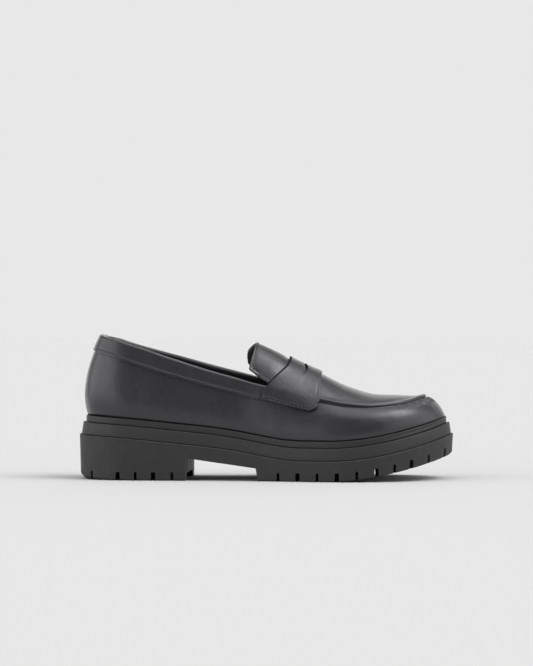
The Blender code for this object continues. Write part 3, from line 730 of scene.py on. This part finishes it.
def new_material(name, colour, roughness):
    """A material with its node tree, its shader and the object's own coordinates."""
    result = bpy.data.materials.new(name)
    result.use_nodes = True
    tree = result.node_tree
    shader = tree.nodes["Principled BSDF"]
    set_inputs(shader, {"Base Color": (*colour, 1.0), "Roughness": roughness})
    coordinates = tree.nodes.new("ShaderNodeTexCoord").outputs["Object"]
    return result, tree, shader, coordinates


def set_inputs(target, values):
    """Give the node's inputs these values."""
    for name, value in values.items():
        target.inputs[name].default_value = value


def noise(tree, coordinates, scale, detail, distortion=0.0):
    """A noise pattern; scale is in cells for each metre."""
    node = tree.nodes.new("ShaderNodeTexNoise")
    set_inputs(node, {"Scale": scale, "Detail": detail, "Distortion": distortion})
    tree.links.new(coordinates, node.inputs["Vector"])
    return node.outputs["Fac"]


def pebbles(tree, coordinates, scale):
    """The small rounded cells of a leather grain."""
    node = tree.nodes.new("ShaderNodeTexVoronoi")
    node.feature = "SMOOTH_F1"
    set_inputs(node, {"Scale": scale, "Smoothness": 0.6})
    tree.links.new(coordinates, node.inputs["Vector"])
    return node.outputs["Distance"]


def spread(tree, value, low, high, start=0.3, end=0.7):
    """The value, stretched to run from low to high."""
    node = tree.nodes.new("ShaderNodeMapRange")
    set_inputs(node, {"From Min": start, "From Max": end, "To Min": low, "To Max": high})
    tree.links.new(value, node.inputs["Value"])
    return node.outputs["Result"]


def shade(tree, value, dark, light):
    """A colour between dark and light."""
    node = tree.nodes.new("ShaderNodeMix")
    node.data_type = "RGBA"
    set_inputs(node, {"A": (*dark, 1.0), "B": (*light, 1.0)})
    tree.links.new(value, node.inputs["Factor"])
    return node.outputs["Result"]


def relief(tree, height, distance, strength, under=None):
    """A bump layer of a height in metres, over another one."""
    node = tree.nodes.new("ShaderNodeBump")
    set_inputs(node, {"Distance": distance, "Strength": strength})
    tree.links.new(height, node.inputs["Height"])
    if under:
        tree.links.new(under, node.inputs["Normal"])
    return node.outputs["Normal"]


def leather(name, finish):
    """Smooth box leather: fine grain, slow waves that break the highlight, and a soft gloss."""
    result, tree, shader, coordinates = new_material(name, finish.dark, finish.gloss[0])
    patches = noise(tree, coordinates, scale=38.0, detail=4.0)
    tree.links.new(shade(tree, patches, finish.dark, finish.light), shader.inputs["Base Color"])
    haze = noise(tree, coordinates, scale=210.0, detail=5.0)
    tree.links.new(spread(tree, haze, *finish.gloss), shader.inputs["Roughness"])
    swell = noise(tree, coordinates, scale=85.0, detail=3.0)
    waves = relief(tree, swell, distance=0.0010, strength=0.60)
    cells = pebbles(tree, coordinates, scale=1300.0)
    grain = relief(tree, cells, finish.grain, strength=0.55, under=waves)
    specks = noise(tree, coordinates, scale=3200.0, detail=2.0)
    pores = relief(tree, specks, finish.grain, strength=0.30, under=grain)
    tree.links.new(pores, shader.inputs["Normal"])
    set_inputs(shader, {"Specular IOR Level": finish.shine, "Specular Tint": LEATHER_TINT})
    set_inputs(shader, {"Coat Weight": finish.coat, "Coat Roughness": COAT_ROUGHNESS})
    return result


def rubber(name, finish):
    """Moulded rubber: matte, with a fine even grain and faint flow marks."""
    result, tree, shader, coordinates = new_material(name, finish.dark, finish.gloss[0])
    patches = noise(tree, coordinates, scale=30.0, detail=5.0, distortion=0.4)
    tree.links.new(shade(tree, patches, finish.dark, finish.light), shader.inputs["Base Color"])
    haze = noise(tree, coordinates, scale=160.0, detail=4.0)
    tree.links.new(spread(tree, haze, *finish.gloss), shader.inputs["Roughness"])
    flow = noise(tree, coordinates, scale=120.0, detail=2.0)
    waves = relief(tree, flow, distance=0.0003, strength=0.30)
    specks = noise(tree, coordinates, scale=2400.0, detail=3.0)
    grain = relief(tree, specks, finish.grain, strength=0.45, under=waves)
    tree.links.new(grain, shader.inputs["Normal"])
    return result


def thread(name, dark, light):
    """Waxed thread, twisted."""
    result, tree, shader, coordinates = new_material(name, dark, roughness=0.45)
    twist = noise(tree, coordinates, scale=1800.0, detail=2.0, distortion=1.5)
    tree.links.new(shade(tree, twist, dark, light), shader.inputs["Base Color"])
    tree.links.new(relief(tree, twist, distance=0.0001, strength=0.6), shader.inputs["Normal"])
    return result


LEATHER_TINT = (0.95, 0.94, 1.0, 1.0)
COAT_ROUGHNESS = 0.24

# Gloss is the roughness of the shiniest spots and the dullest, grain the depth of the finest relief,
# coat the share of clear polish and shine the strength of the leather's own reflection.
Finish = namedtuple("Finish", "dark light gloss grain coat shine", defaults=(0.0, 0.5))
LEATHERS = {
    "upper_leather": Finish((0.010, 0.010, 0.012), (0.018, 0.018, 0.021), (0.34, 0.46), 0.00005, 0.42),
    "strap_leather": Finish((0.010, 0.010, 0.012), (0.019, 0.019, 0.022), (0.34, 0.46), 0.00005, 0.42),
    "tongue_leather": Finish((0.012, 0.012, 0.014), (0.022, 0.022, 0.025), (0.34, 0.46), 0.00006, 0.42),
    "collar_leather": Finish((0.011, 0.011, 0.013), (0.019, 0.019, 0.022), (0.34, 0.46), 0.00005, 0.38),
    # The black lining, painted lighter than the upper's leather to make up for the shade inside the
    # shoe: painted light.
    "lining_painted_lighter": Finish((0.030, 0.030, 0.031), (0.044, 0.044, 0.045), (0.50, 0.62), 0.00006),
    # Painted shade: near black and dull, for the strap's back edge, where it stands in for the shadow of
    # the gap beside the tongue.
    "strap_edge_shade": Finish((0.004, 0.004, 0.004), (0.006, 0.006, 0.006), (0.66, 0.76), 0.00006, shine=0.2),
    "insole_leather": Finish((0.018, 0.017, 0.016), (0.028, 0.027, 0.026), (0.52, 0.64), 0.00007),
}
RUBBERS = {
    "welt_rubber": Finish((0.014, 0.014, 0.015), (0.021, 0.021, 0.022), (0.46, 0.56), 0.00004),
    "midsole_rubber": Finish((0.016, 0.016, 0.017), (0.023, 0.023, 0.024), (0.50, 0.60), 0.00005),
    "outsole_rubber": Finish((0.015, 0.015, 0.016), (0.023, 0.023, 0.024), (0.54, 0.66), 0.00006),
}
MATERIALS = {name: leather(name, finish) for name, finish in LEATHERS.items()}
MATERIALS.update({name: rubber(name, finish) for name, finish in RUBBERS.items()})
MATERIALS["black_thread"] = thread("black_thread", (0.040, 0.040, 0.042), (0.090, 0.090, 0.094))


# The camera, the floor and the light

CAMERA_DISTANCE = 1.8
CAMERA_TURN = math.radians(2.5)
CAMERA_SIDE = 0.00035
CAMERA_HEIGHT = 0.1083
CAMERA_LENS = 130.4
CAMERA_SENSOR = 36.0
FLOOR_SIZE = 30.0
FLOOR_GREY = (0.6, 0.6, 0.6)
BACKDROP = 0.807


def make_camera():
    """The camera at the photograph's angle: level, and a little towards the toe."""
    data = bpy.data.cameras.new("camera")
    data.lens = CAMERA_LENS
    data.sensor_width = CAMERA_SENSOR
    data.clip_end = 4 * FLOOR_SIZE
    camera = bpy.data.objects.new("camera", data)
    x = CAMERA_SIDE + CAMERA_DISTANCE * math.sin(CAMERA_TURN)
    camera.location = (x, -CAMERA_DISTANCE * math.cos(CAMERA_TURN), CAMERA_HEIGHT)
    camera.rotation_euler = (math.pi / 2, 0.0, CAMERA_TURN)
    bpy.context.collection.objects.link(camera)
    bpy.context.scene.camera = camera


def make_floor():
    """A wide pale floor."""
    shape = bmesh.new()
    bmesh.ops.create_grid(shape, x_segments=1, y_segments=1, size=FLOOR_SIZE)
    paper, _, shader, _ = new_material("floor_paper", FLOOR_GREY, roughness=0.9)
    shader.inputs["Specular IOR Level"].default_value = 0.0
    floor = new_object("floor", shape, [paper])


# Soft panels of light: full within the inner angle from their direction, none past the outer one, in
# degrees. ROOM is the even light from all sides that they add to.
Glow = namedtuple("Glow", "direction inner outer strength")
GLOWS = (
    Glow((0.0, 0.0, 1.0), 10, 40, 1.5),
    Glow((0.51, -0.14, 0.85), 6, 22, 6.0),
    Glow((-1.0, -0.36, 0.05), 20, 60, 1.9),
    Glow((1.0, -0.20, 0.25), 22, 52, 1.2),
    Glow((0.0, 1.0, 0.10), 18, 50, 1.1),
    Glow((0.0, -1.0, 0.42), 8, 24, 0.06),
)
ROOM = 0.18


def make_world():
    """Plain soft studio light all round: a bright ceiling and soft panels in a dimmer room."""
    world = bpy.data.worlds.new("studio")
    bpy.context.scene.world = world
    world.use_nodes = True
    tree = world.node_tree
    direction = tree.nodes.new("ShaderNodeTexCoord").outputs["Generated"]
    total = None
    for glow in GLOWS:
        turn = tree.nodes.new("ShaderNodeVectorMath")
        turn.operation = "DOT_PRODUCT"
        turn.inputs[1].default_value = Vector(glow.direction).normalized()
        tree.links.new(direction, turn.inputs[0])
        edge = tree.nodes.new("ShaderNodeMapRange")
        edge.interpolation_type = "SMOOTHSTEP"
        outer = math.cos(math.radians(glow.outer))
        inner = math.cos(math.radians(glow.inner))
        set_inputs(edge, {"From Min": outer, "From Max": inner, "To Max": glow.strength})
        tree.links.new(turn.outputs["Value"], edge.inputs["Value"])
        add = tree.nodes.new("ShaderNodeMath")
        add.operation = "ADD"
        add.inputs[1].default_value = ROOM
        tree.links.new(edge.outputs["Result"], add.inputs[0])
        if total:
            tree.links.new(total, add.inputs[1])
        total = add.outputs["Value"]
    seen = tree.nodes.new("ShaderNodeMix")
    seen.inputs["B"].default_value = BACKDROP
    tree.links.new(tree.nodes.new("ShaderNodeLightPath").outputs["Is Camera Ray"], seen.inputs["Factor"])
    tree.links.new(total, seen.inputs["A"])
    tree.links.new(seen.outputs["Result"], tree.nodes["Background"].inputs["Strength"])
    tree.nodes["Background"].inputs["Color"].default_value = (1.0, 1.0, 1.0, 1.0)


# The seam of the apron


def seam_samples():
    """Points along the seam, from the strap round the toe and back, with the run at each."""
    places = rows_of(SEAM[0].row, RING - SEAM[0].row, SEAM_STEPS)
    points = [below_top(place, 0.0) for place in places]
    tree = KDTree(len(points))
    for index, point in enumerate(points):
        tree.insert(point, index)
    tree.balance()
    return places, runs_along(points), tree


SEAM_PLACES, SEAM_RUNS, SEAM_TREE = seam_samples()


def seam_near(point):
    """The distance to the seam, the row there and the run along the seam."""
    _, index, distance = SEAM_TREE.find(point)
    place = SEAM_PLACES[index]
    return distance, min(place, RING - place), SEAM_RUNS[index]


def pucker(distance, row, run):
    """The small gathers beside the seam, round the toe."""
    share = smooth_step(row, PUCKER_START, PUCKER_START + PUCKER_ONSET)
    fade = hump(distance - PUCKER_REACH / 3, 2 * PUCKER_REACH)
    fade *= smooth_step(distance, 0.0, PUCKER_OFFSET)
    turn = 2 * math.pi * run / PUCKER_PITCH
    swing = 1 - PUCKER_SWING + PUCKER_SWING * math.cos(turn / PUCKER_BEAT)
    return PUCKER_DEPTH * share * fade * swing * math.cos(turn)


def lip_height(point):
    """The raised lip on the apron's side of the seam."""
    distance, row, _ = seam_near(point)
    if distance > LIP_RISE + LIP_FALL:
        return -fold_depth(point)
    share = along_table(SEAM, "row", "share", row)
    rise = math.sqrt(max(1 - (1 - min(distance / LIP_RISE, 1.0)) ** 2, 0.0))
    fall = 1 - smooth_step(distance, LIP_RISE, LIP_RISE + LIP_FALL)
    return (share * SEAM_LIP + LIP_LOW) * rise * fall - fold_depth(point)


def crease_depth(point):
    """The crease on the wall's side of the seam, with the puckers under it."""
    distance, row, run = seam_near(point)
    if distance > 3 * PUCKER_REACH:
        return -fold_depth(point)
    share = along_table(SEAM, "row", "crease", row)
    groove = share * CREASE_DEPTH * hump(distance - CREASE_PLACE, CREASE_WIDTH)
    return pucker(distance, row, run) - groove - fold_depth(point)


# The pieces


def wall_places():
    """Places round the wall, closer together round the toe."""
    back = rows_of(0, TOE_START, WALL_STEPS)
    toe = rows_of(TOE_START, RING - TOE_START, TOE_STEPS)
    front = rows_of(RING - TOE_START, RING, WALL_STEPS)
    return back + toe[1:] + front[1:]


def rim_drop(place):
    """How far the wall's top edge stays under the rolled rim of the collar band."""
    row = min(place, RING - place)
    return RIM_DROP * (1 - smooth_step(row, THROAT_ROW - RIM_FADE_START, THROAT_ROW - RIM_FADE_END))


def wall_point(place, row):
    """A point of the wall: rows close together under its top edge, then even down to the welt."""
    if place == RING:
        place = 0.0
    top = rim_drop(place)
    if row <= SEAM_ROWS:
        return below_top(place, top + row * SEAM_ROW_HEIGHT)
    seam = top + SEAM_ROWS * SEAM_ROW_HEIGHT
    share = (row - SEAM_ROWS) / PLAIN_ROWS
    return below_top(place, seam + (wall_height(place) - seam) * share)


def apron_share(column):
    """Shares across the apron, close together at its seam."""
    return (1 - math.cos(math.pi * column / APRON_COLUMNS)) / 2


def make_upper():
    """Quarters, vamp and apron: one leather wall with the raised seam, its crease and puckers."""
    places = wall_places()
    sides = woven(places, list(range(SEAM_ROWS + PLAIN_ROWS + 1)), wall_point)
    facing_out(merged(sides))
    push(sides, crease_depth)
    rows = [place for place in places if THROAT_ROW - MERGE <= place <= TOE_ROW]
    columns = [apron_share(column) for column in range(APRON_COLUMNS + 1)]
    apron = woven(rows, columns, instep)
    facing_out(merged(apron))
    push(apron, lip_height)
    shape = joined([sides, apron])
    facing_out(shape)
    upper = piece("leather_upper", shape, ["upper_leather", "lining_painted_lighter"], "upper")
    thicken(upper, WALL, -1.0, 1)


def strap_point(across, part):
    """A point under the strap: part runs from its back edge to its front edge."""
    back = strap_edge(across, "back")
    front = strap_edge(across, "front")
    x = back + (front - back) * part
    return skin(row_at(x, across, STRAP_DROP), across, STRAP_DROP)


@lru_cache(maxsize=None)
def slot_parts(across):
    """Where the slot starts and ends between the strap's edges, at a place across the foot."""
    back = strap_edge(across, "back")
    front = strap_edge(across, "front")
    place = (SLOT_PLACE - 0.5) * OUTSOLE_LENGTH
    middle = (below_top(SLOT_ROW, 0.0).y + below_top(RING - SLOT_ROW, 0.0).y) / 2
    side = (skin(row_at(place, across, STRAP_DROP), across, STRAP_DROP).y - middle) / SLOT_HALF_WIDTH
    side = min(abs(side), 1.0)
    opening = SLOT_OPENING * smooth_step(1 - side, 0.0, SLOT_TAPER)
    far = place + opening + SLOT_BULGE * 4 * side * (1 - side)
    return (place - back) / (front - back), (far - back) / (front - back)


def strap_row(across, row):
    """The share between the strap's edges for a row of its mesh; the slot takes one row.

    Its first two rows bound the band of painted shade along the back edge, and its last rows are close
    together for the front bead.
    """
    near, far = slot_parts(across)
    length = strap_edge(across, "front") - strap_edge(across, "back")
    edge_shade_share = EDGE_SHADE_WIDTH / length
    if row == 0:
        return 0.0
    if row <= STRAP_BACK_ROWS:
        return edge_shade_share + (near - edge_shade_share) * (row - 1) / (STRAP_BACK_ROWS - 1)
    fine = STRAP_FRONT_ROWS - BEAD_ROWS
    bead = 1 - BEAD_WIDTH / length
    step = row - STRAP_BACK_ROWS - 1
    if step <= fine:
        return far + (bead - far) * step / fine
    return bead + (1 - bead) * (step - fine) / BEAD_ROWS


def bead_lift(across, row):
    """The low bead along the strap's front edge."""
    step = row - STRAP_BACK_ROWS - 1 - (STRAP_FRONT_ROWS - BEAD_ROWS)
    share = step / BEAD_ROWS
    fade = 1 - smooth_step(abs(across - 0.5), *BEAD_FADE)
    return BEAD_HEIGHT * fade * hump(share - BEAD_CREST, BEAD_SPREAD)


def make_strap():
    """The saddle strap over the instep, with its curved slot and rounded edges."""
    down = [-1 + step / STRAP_SIDE_COLUMNS for step in range(STRAP_SIDE_COLUMNS)]
    over = [step / STRAP_TOP_COLUMNS for step in range(STRAP_TOP_COLUMNS + 1)]
    columns = down + over + [1 - place for place in reversed(down)]
    rows = list(range(STRAP_BACK_ROWS + STRAP_FRONT_ROWS + 2))
    shape = woven(columns, rows, lambda across, row: strap_point(across, strap_row(across, row)))
    lift = lift_layer(shape, columns, rows, bead_lift)
    width = len(columns)
    free = [index for index in range(width) if 0 <= columns[index] <= 1]
    # Faces between the first two rows over the top get the painted shade that stands in for the gap's
    # shadow.
    edge_shade_verts = {shape.verts[index + row * width] for index in free for row in (0, 1)}
    slot_verts = set(shape.verts[STRAP_BACK_ROWS * width:(STRAP_BACK_ROWS + 2) * width])
    for face in shape.faces:
        face.material_index = int(all(vert in edge_shade_verts for vert in face.verts))
    slot = [face for face in shape.faces if all(vert in slot_verts for vert in face.verts)]
    bmesh.ops.delete(shape, geom=slot, context="FACES_ONLY")
    merged(shape)
    inner = [vert for vert in shape.verts if not vert.is_boundary]
    for _ in range(STRAP_EASE):
        bmesh.ops.smooth_vert(shape, verts=inner, factor=0.5, use_axis_y=True, use_axis_z=True)
    facing_out(shape)
    push(shape, lambda point: GAP - fold_depth(point), lift)
    strap = piece("leather_strap", shape, ["strap_leather", "strap_edge_shade"], "saddle_strap")
    thicken(strap, STRAP_THICKNESS, 1.0)
    soften(strap, STRAP_ROUND, 4)


def tongue_point(across, part):
    """A point of the tongue's face: part runs from its back edge to the apron's edge."""
    throat = instep(THROAT_ROW, across).x - TONGUE_CLEARANCE
    back = throat - TONGUE_BACK * along_table(TONGUE_EDGE, "across", "reach", across)
    x = back + (throat - back) * part
    row = row_at(x, across, 0.0)
    narrow = TONGUE_INSET + TONGUE_TAPER * (1 - part) ** 2
    free = smooth_step(strap_edge(across, "back") - x, 0.0, TONGUE_LIFT_RUN)
    arch = 1 - abs(2 * across - 1) ** 3
    return instep(row, narrow + (1 - 2 * narrow) * across) + UP * (TONGUE_LIFT * free * arch)


def tongue_bead(across, part):
    """The folded edge of the tongue: a low bead along its back and sides, with a groove inside it."""
    inside = min(across, 1 - across) * BALL_WIDTH / 2
    distance = min(part * TONGUE_BACK, inside)
    bead = hump(distance - TONGUE_BEAD_WIDTH / 3, TONGUE_BEAD_WIDTH)
    groove = TONGUE_GROOVE * hump(distance - TONGUE_BEAD_WIDTH, TONGUE_BEAD_WIDTH)
    fade = 1 - TONGUE_FADE * smooth_step(part, *TONGUE_FADE_RUN)
    return TONGUE_BEAD * fade * (bead - groove)


def make_tongue():
    """The tongue, which carries the apron's line back under the strap and stands up behind it.

    Its columns and rows lie close together near the folded edge.
    """
    near = [step * 0.009 for step in range(7)]
    columns = near + [step / 40 for step in range(3, 38)] + [1 - place for place in reversed(near)]
    rows = [step * 0.013 for step in range(8)] + [step / 24 for step in range(3, 25)]
    shape = facing_out(woven(columns, rows, tongue_point))
    lift = lift_layer(shape, columns, rows, tongue_bead)
    push(shape, lambda point: -fold_depth(point), lift)
    tongue = piece("leather_tongue", shape, ["tongue_leather", "lining_painted_lighter"], "tongue")
    thicken(tongue, TONGUE_THICKNESS, -1.0, 1)
    soften(tongue, LEATHER_EDGE)


@lru_cache(maxsize=None)
def band_ends(level):
    """The rows where the collar band meets the strap, at a level between its edges."""
    x = strap_edge(level - 1, "back") - 2 * GAP
    return row_at(x, -MERGE, 0.0), row_at(x, 1 + MERGE, 0.0)


def band_width(place):
    return BAND_WIDTH * along_table(BAND, "row", "share", min(place, RING - place))


def band_point(part, turn):
    """A point under the collar band.

    Turn runs from 0 at its lower edge to 1 at its rim, to 2 over the rim and to 3 inside the shoe.
    """
    level = min(turn, 1.0)
    lateral, medial = band_ends(round(level, 6))
    place = (lateral + (-medial - lateral) * part) % RING
    out = outward(place)
    drop = RIM_DROP + (band_width(place) - RIM_DROP) * (1 - level)
    if turn <= 1:
        height = band_width(place) - drop
        groove = BAND_GROOVE_DEPTH * hump(height - BAND_GROOVE_HEIGHT, BAND_GROOVE_WIDTH)
        return below_top(place, drop) + out * (GAP - groove)
    middle = below_top(place, RIM_DROP) - out * (WALL / 2)
    radius = WALL / 2 + GAP
    if turn <= 2:
        angle = math.pi * (turn - 1)
        return middle + out * (radius * math.cos(angle)) + UP * (radius * math.sin(angle))
    inner = below_top(place, RIM_DROP + LINING_FOLD * (turn - 2))
    return inner - out * (WALL + GAP)


def make_collar_band():
    """The band round the topline: a groove over its lower edge, and its rim rolled into the shoe.

    Its rows lie closest together over the groove and round the rim.
    """
    columns = [step / BAND_COLUMNS for step in range(BAND_COLUMNS + 1)]
    lower = [step * 0.025 for step in range(16)]
    upper = [lower[-1] + (1 - lower[-1]) * step / 8 for step in range(1, 9)]
    rim = [1 + step / 10 for step in range(1, 11)]
    inside = [2 + step / 5 for step in range(1, 6)]
    shape = facing_out(woven(columns, lower + upper + rim + inside, band_point))
    push(shape, lambda point: -fold_depth(point))
    band = piece("leather_band", shape, ["collar_leather"], "collar_band")
    thicken(band, BAND_THICKNESS, 1.0)
    soften(band, BAND_EDGE)


def steady(setback):
    """The same setback at every place."""
    return lambda place: setback


def round_corner(setback, height, radius, upper):
    """Profile points of a rounded outer corner, as (setback, height) pairs going up."""
    points = []
    for step in range(CORNER_STEPS + 1):
        angle = math.pi / 2 * step / CORNER_STEPS
        wide = radius * (1 - math.cos(angle))
        narrow = radius * (1 - math.sin(angle))
        if upper:
            points.append((steady(setback + wide), height - narrow))
        else:
            points.append((steady(setback + narrow), height + wide))
    return points


def spine(place, setback_at):
    """The point between the sides of the shoe at a place; at the tips it is the edge itself."""
    row = min(place, RING - place)
    other = (RING - row) % RING
    return (outline(row, setback_at(row)) + outline(other, setback_at(other))) / 2


def over_bed(point, rise):
    """The point, raised this far over the outsole's top."""
    return Vector((point.x, point.y, bed(point.x) + rise))


def ring_solid(profile, filled=True):
    """A closed solid from a profile that runs up its side; if filled, it closes at the middle."""
    places = rows_of(0, RING, SOLE_STEPS)
    past = int(filled)
    rows = list(range(-past, len(profile) + past))

    def point_at(place, row):
        place = place % RING
        setback, rise = profile[min(max(row, 0), len(profile) - 1)]
        if row in (-1, len(profile)):
            return over_bed(spine(place, setback), rise)
        return over_bed(outline(place, setback(place)), rise)

    return closed(woven(places, rows, point_at))


def make_midsole():
    """The plain middle layer, stepped in from the outsole and leaning in a little."""
    top = MIDSOLE_SETBACK + MIDSOLE_LEAN
    profile = round_corner(MIDSOLE_SETBACK, GAP, SOLE_EDGE / 2, False)
    profile += round_corner(top, MIDSOLE_THICKNESS, SOLE_EDGE, True)
    midsole = piece("rubber_midsole", ring_solid(profile), ["midsole_rubber"], "midsole")


def welt_groove(place):
    """The fine groove under the welt's top edge, deepest round the toe."""
    row = min(place, RING - place)
    front = (1 - WELT_GROOVE_REAR) * smooth_step(row, *WELT_GROOVE_ROWS)
    return WELT_GROOVE_DEPTH * (WELT_GROOVE_REAR + front)


def make_welt():
    """The rim that the upper stands on, as a ring with the insole inside it."""

    def inner(place):
        return insole_setback(place) - GAP

    def groove(place):
        return WELT_SETBACK + welt_groove(place)

    half = WELT_GROOVE_DEPTH
    low = MIDSOLE_THICKNESS + GAP
    top = MIDSOLE_THICKNESS + WELT_THICKNESS
    middle = top - WELT_GROOVE_DROP
    profile = [(inner, low)] + round_corner(WELT_SETBACK, low, WELT_EDGE / 2, False)
    flat = steady(WELT_SETBACK)
    profile += [(flat, middle - half), (groove, middle), (flat, middle + half)]
    profile += round_corner(WELT_SETBACK, top, WELT_EDGE, True)
    profile += [(inner, top), (inner, low)]
    welt = piece("rubber_welt", ring_solid(profile, filled=False), ["welt_rubber"], "welt")


def make_insole():
    """The footbed inside the welt: its edge stands a little over its middle."""
    top = MIDSOLE_THICKNESS + WELT_THICKNESS + INSOLE_RISE

    def edge(inset):
        """A setback that stays this far inside the insole's edge."""
        return lambda place: insole_setback(place) + inset

    profile = [(edge(0.0), MIDSOLE_THICKNESS + GAP)]
    profile += [(edge(inset), top - dip) for inset, dip in INSOLE_EDGE]
    insole = piece("leather_insole", ring_solid(profile), ["insole_leather"], "insole")


def dress_outsole():
    """The lugged outsole keeps its solid and gets the moulded rubber."""
    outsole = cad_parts["outsole"]
    for place in outsole.material_slots:
        place.material = MATERIALS["outsole_rubber"]


def stitch_row(shape, point_at, path, height):
    """One row of stitches over a surface, along a path of its places."""
    frames = [frame_at(point_at, *place) for place in path]
    points = [point + normal * height for point, normal in frames]
    runs = runs_along(points)
    count = int(runs[-1] / STITCH_PITCH)
    for index in range(count):
        run = (index + 0.5) * runs[-1] / count
        step = max(place for place in range(len(runs) - 1) if runs[place] <= run)
        part = (run - runs[step]) / (runs[step + 1] - runs[step])
        middle = points[step].lerp(points[step + 1], part)
        along = (points[step + 1] - points[step]).normalized()
        normal = frames[step][1]
        side = normal.cross(along).normalized()
        normal = along.cross(side)
        turn = Matrix((along, side, normal)).transposed().to_4x4()
        size = Matrix.Diagonal((STITCH_LENGTH / 2, THREAD_RADIUS, THREAD_RADIUS, 1.0))
        place = Matrix.Translation(middle) @ turn @ size
        bmesh.ops.create_uvsphere(shape, u_segments=8, v_segments=6, radius=1.0, matrix=place)


def line(start, end):
    """Places on a straight run between two places of a surface."""
    run = (end[0] - start[0], end[1] - start[1])
    shares = [step / STITCH_STEPS for step in range(STITCH_STEPS + 1)]
    return [(start[0] + run[0] * share, start[1] + run[1] * share) for share in shares]


def make_stitches():
    """Rows over the strap's lower edges and back corners, and one inside the tongue's folded edge."""
    shape = bmesh.new()
    sunk = THREAD_RADIUS / 3
    for row in STRAP_STITCHES:
        stitch_row(shape, strap_point, line(row.start, row.end), GAP + STRAP_THICKNESS + sunk)
    for row in TONGUE_STITCHES:
        stitch_row(shape, tongue_point, line(row.start, row.end), sunk)
    stitches = piece("stitches", shape, ["black_thread"])


bpy.context.scene.view_settings.view_transform = "Standard"
make_camera()
make_floor()
make_world()
make_upper()
make_strap()
make_tongue()
make_collar_band()
make_midsole()
make_welt()
make_insole()
dress_outsole()
make_stitches()
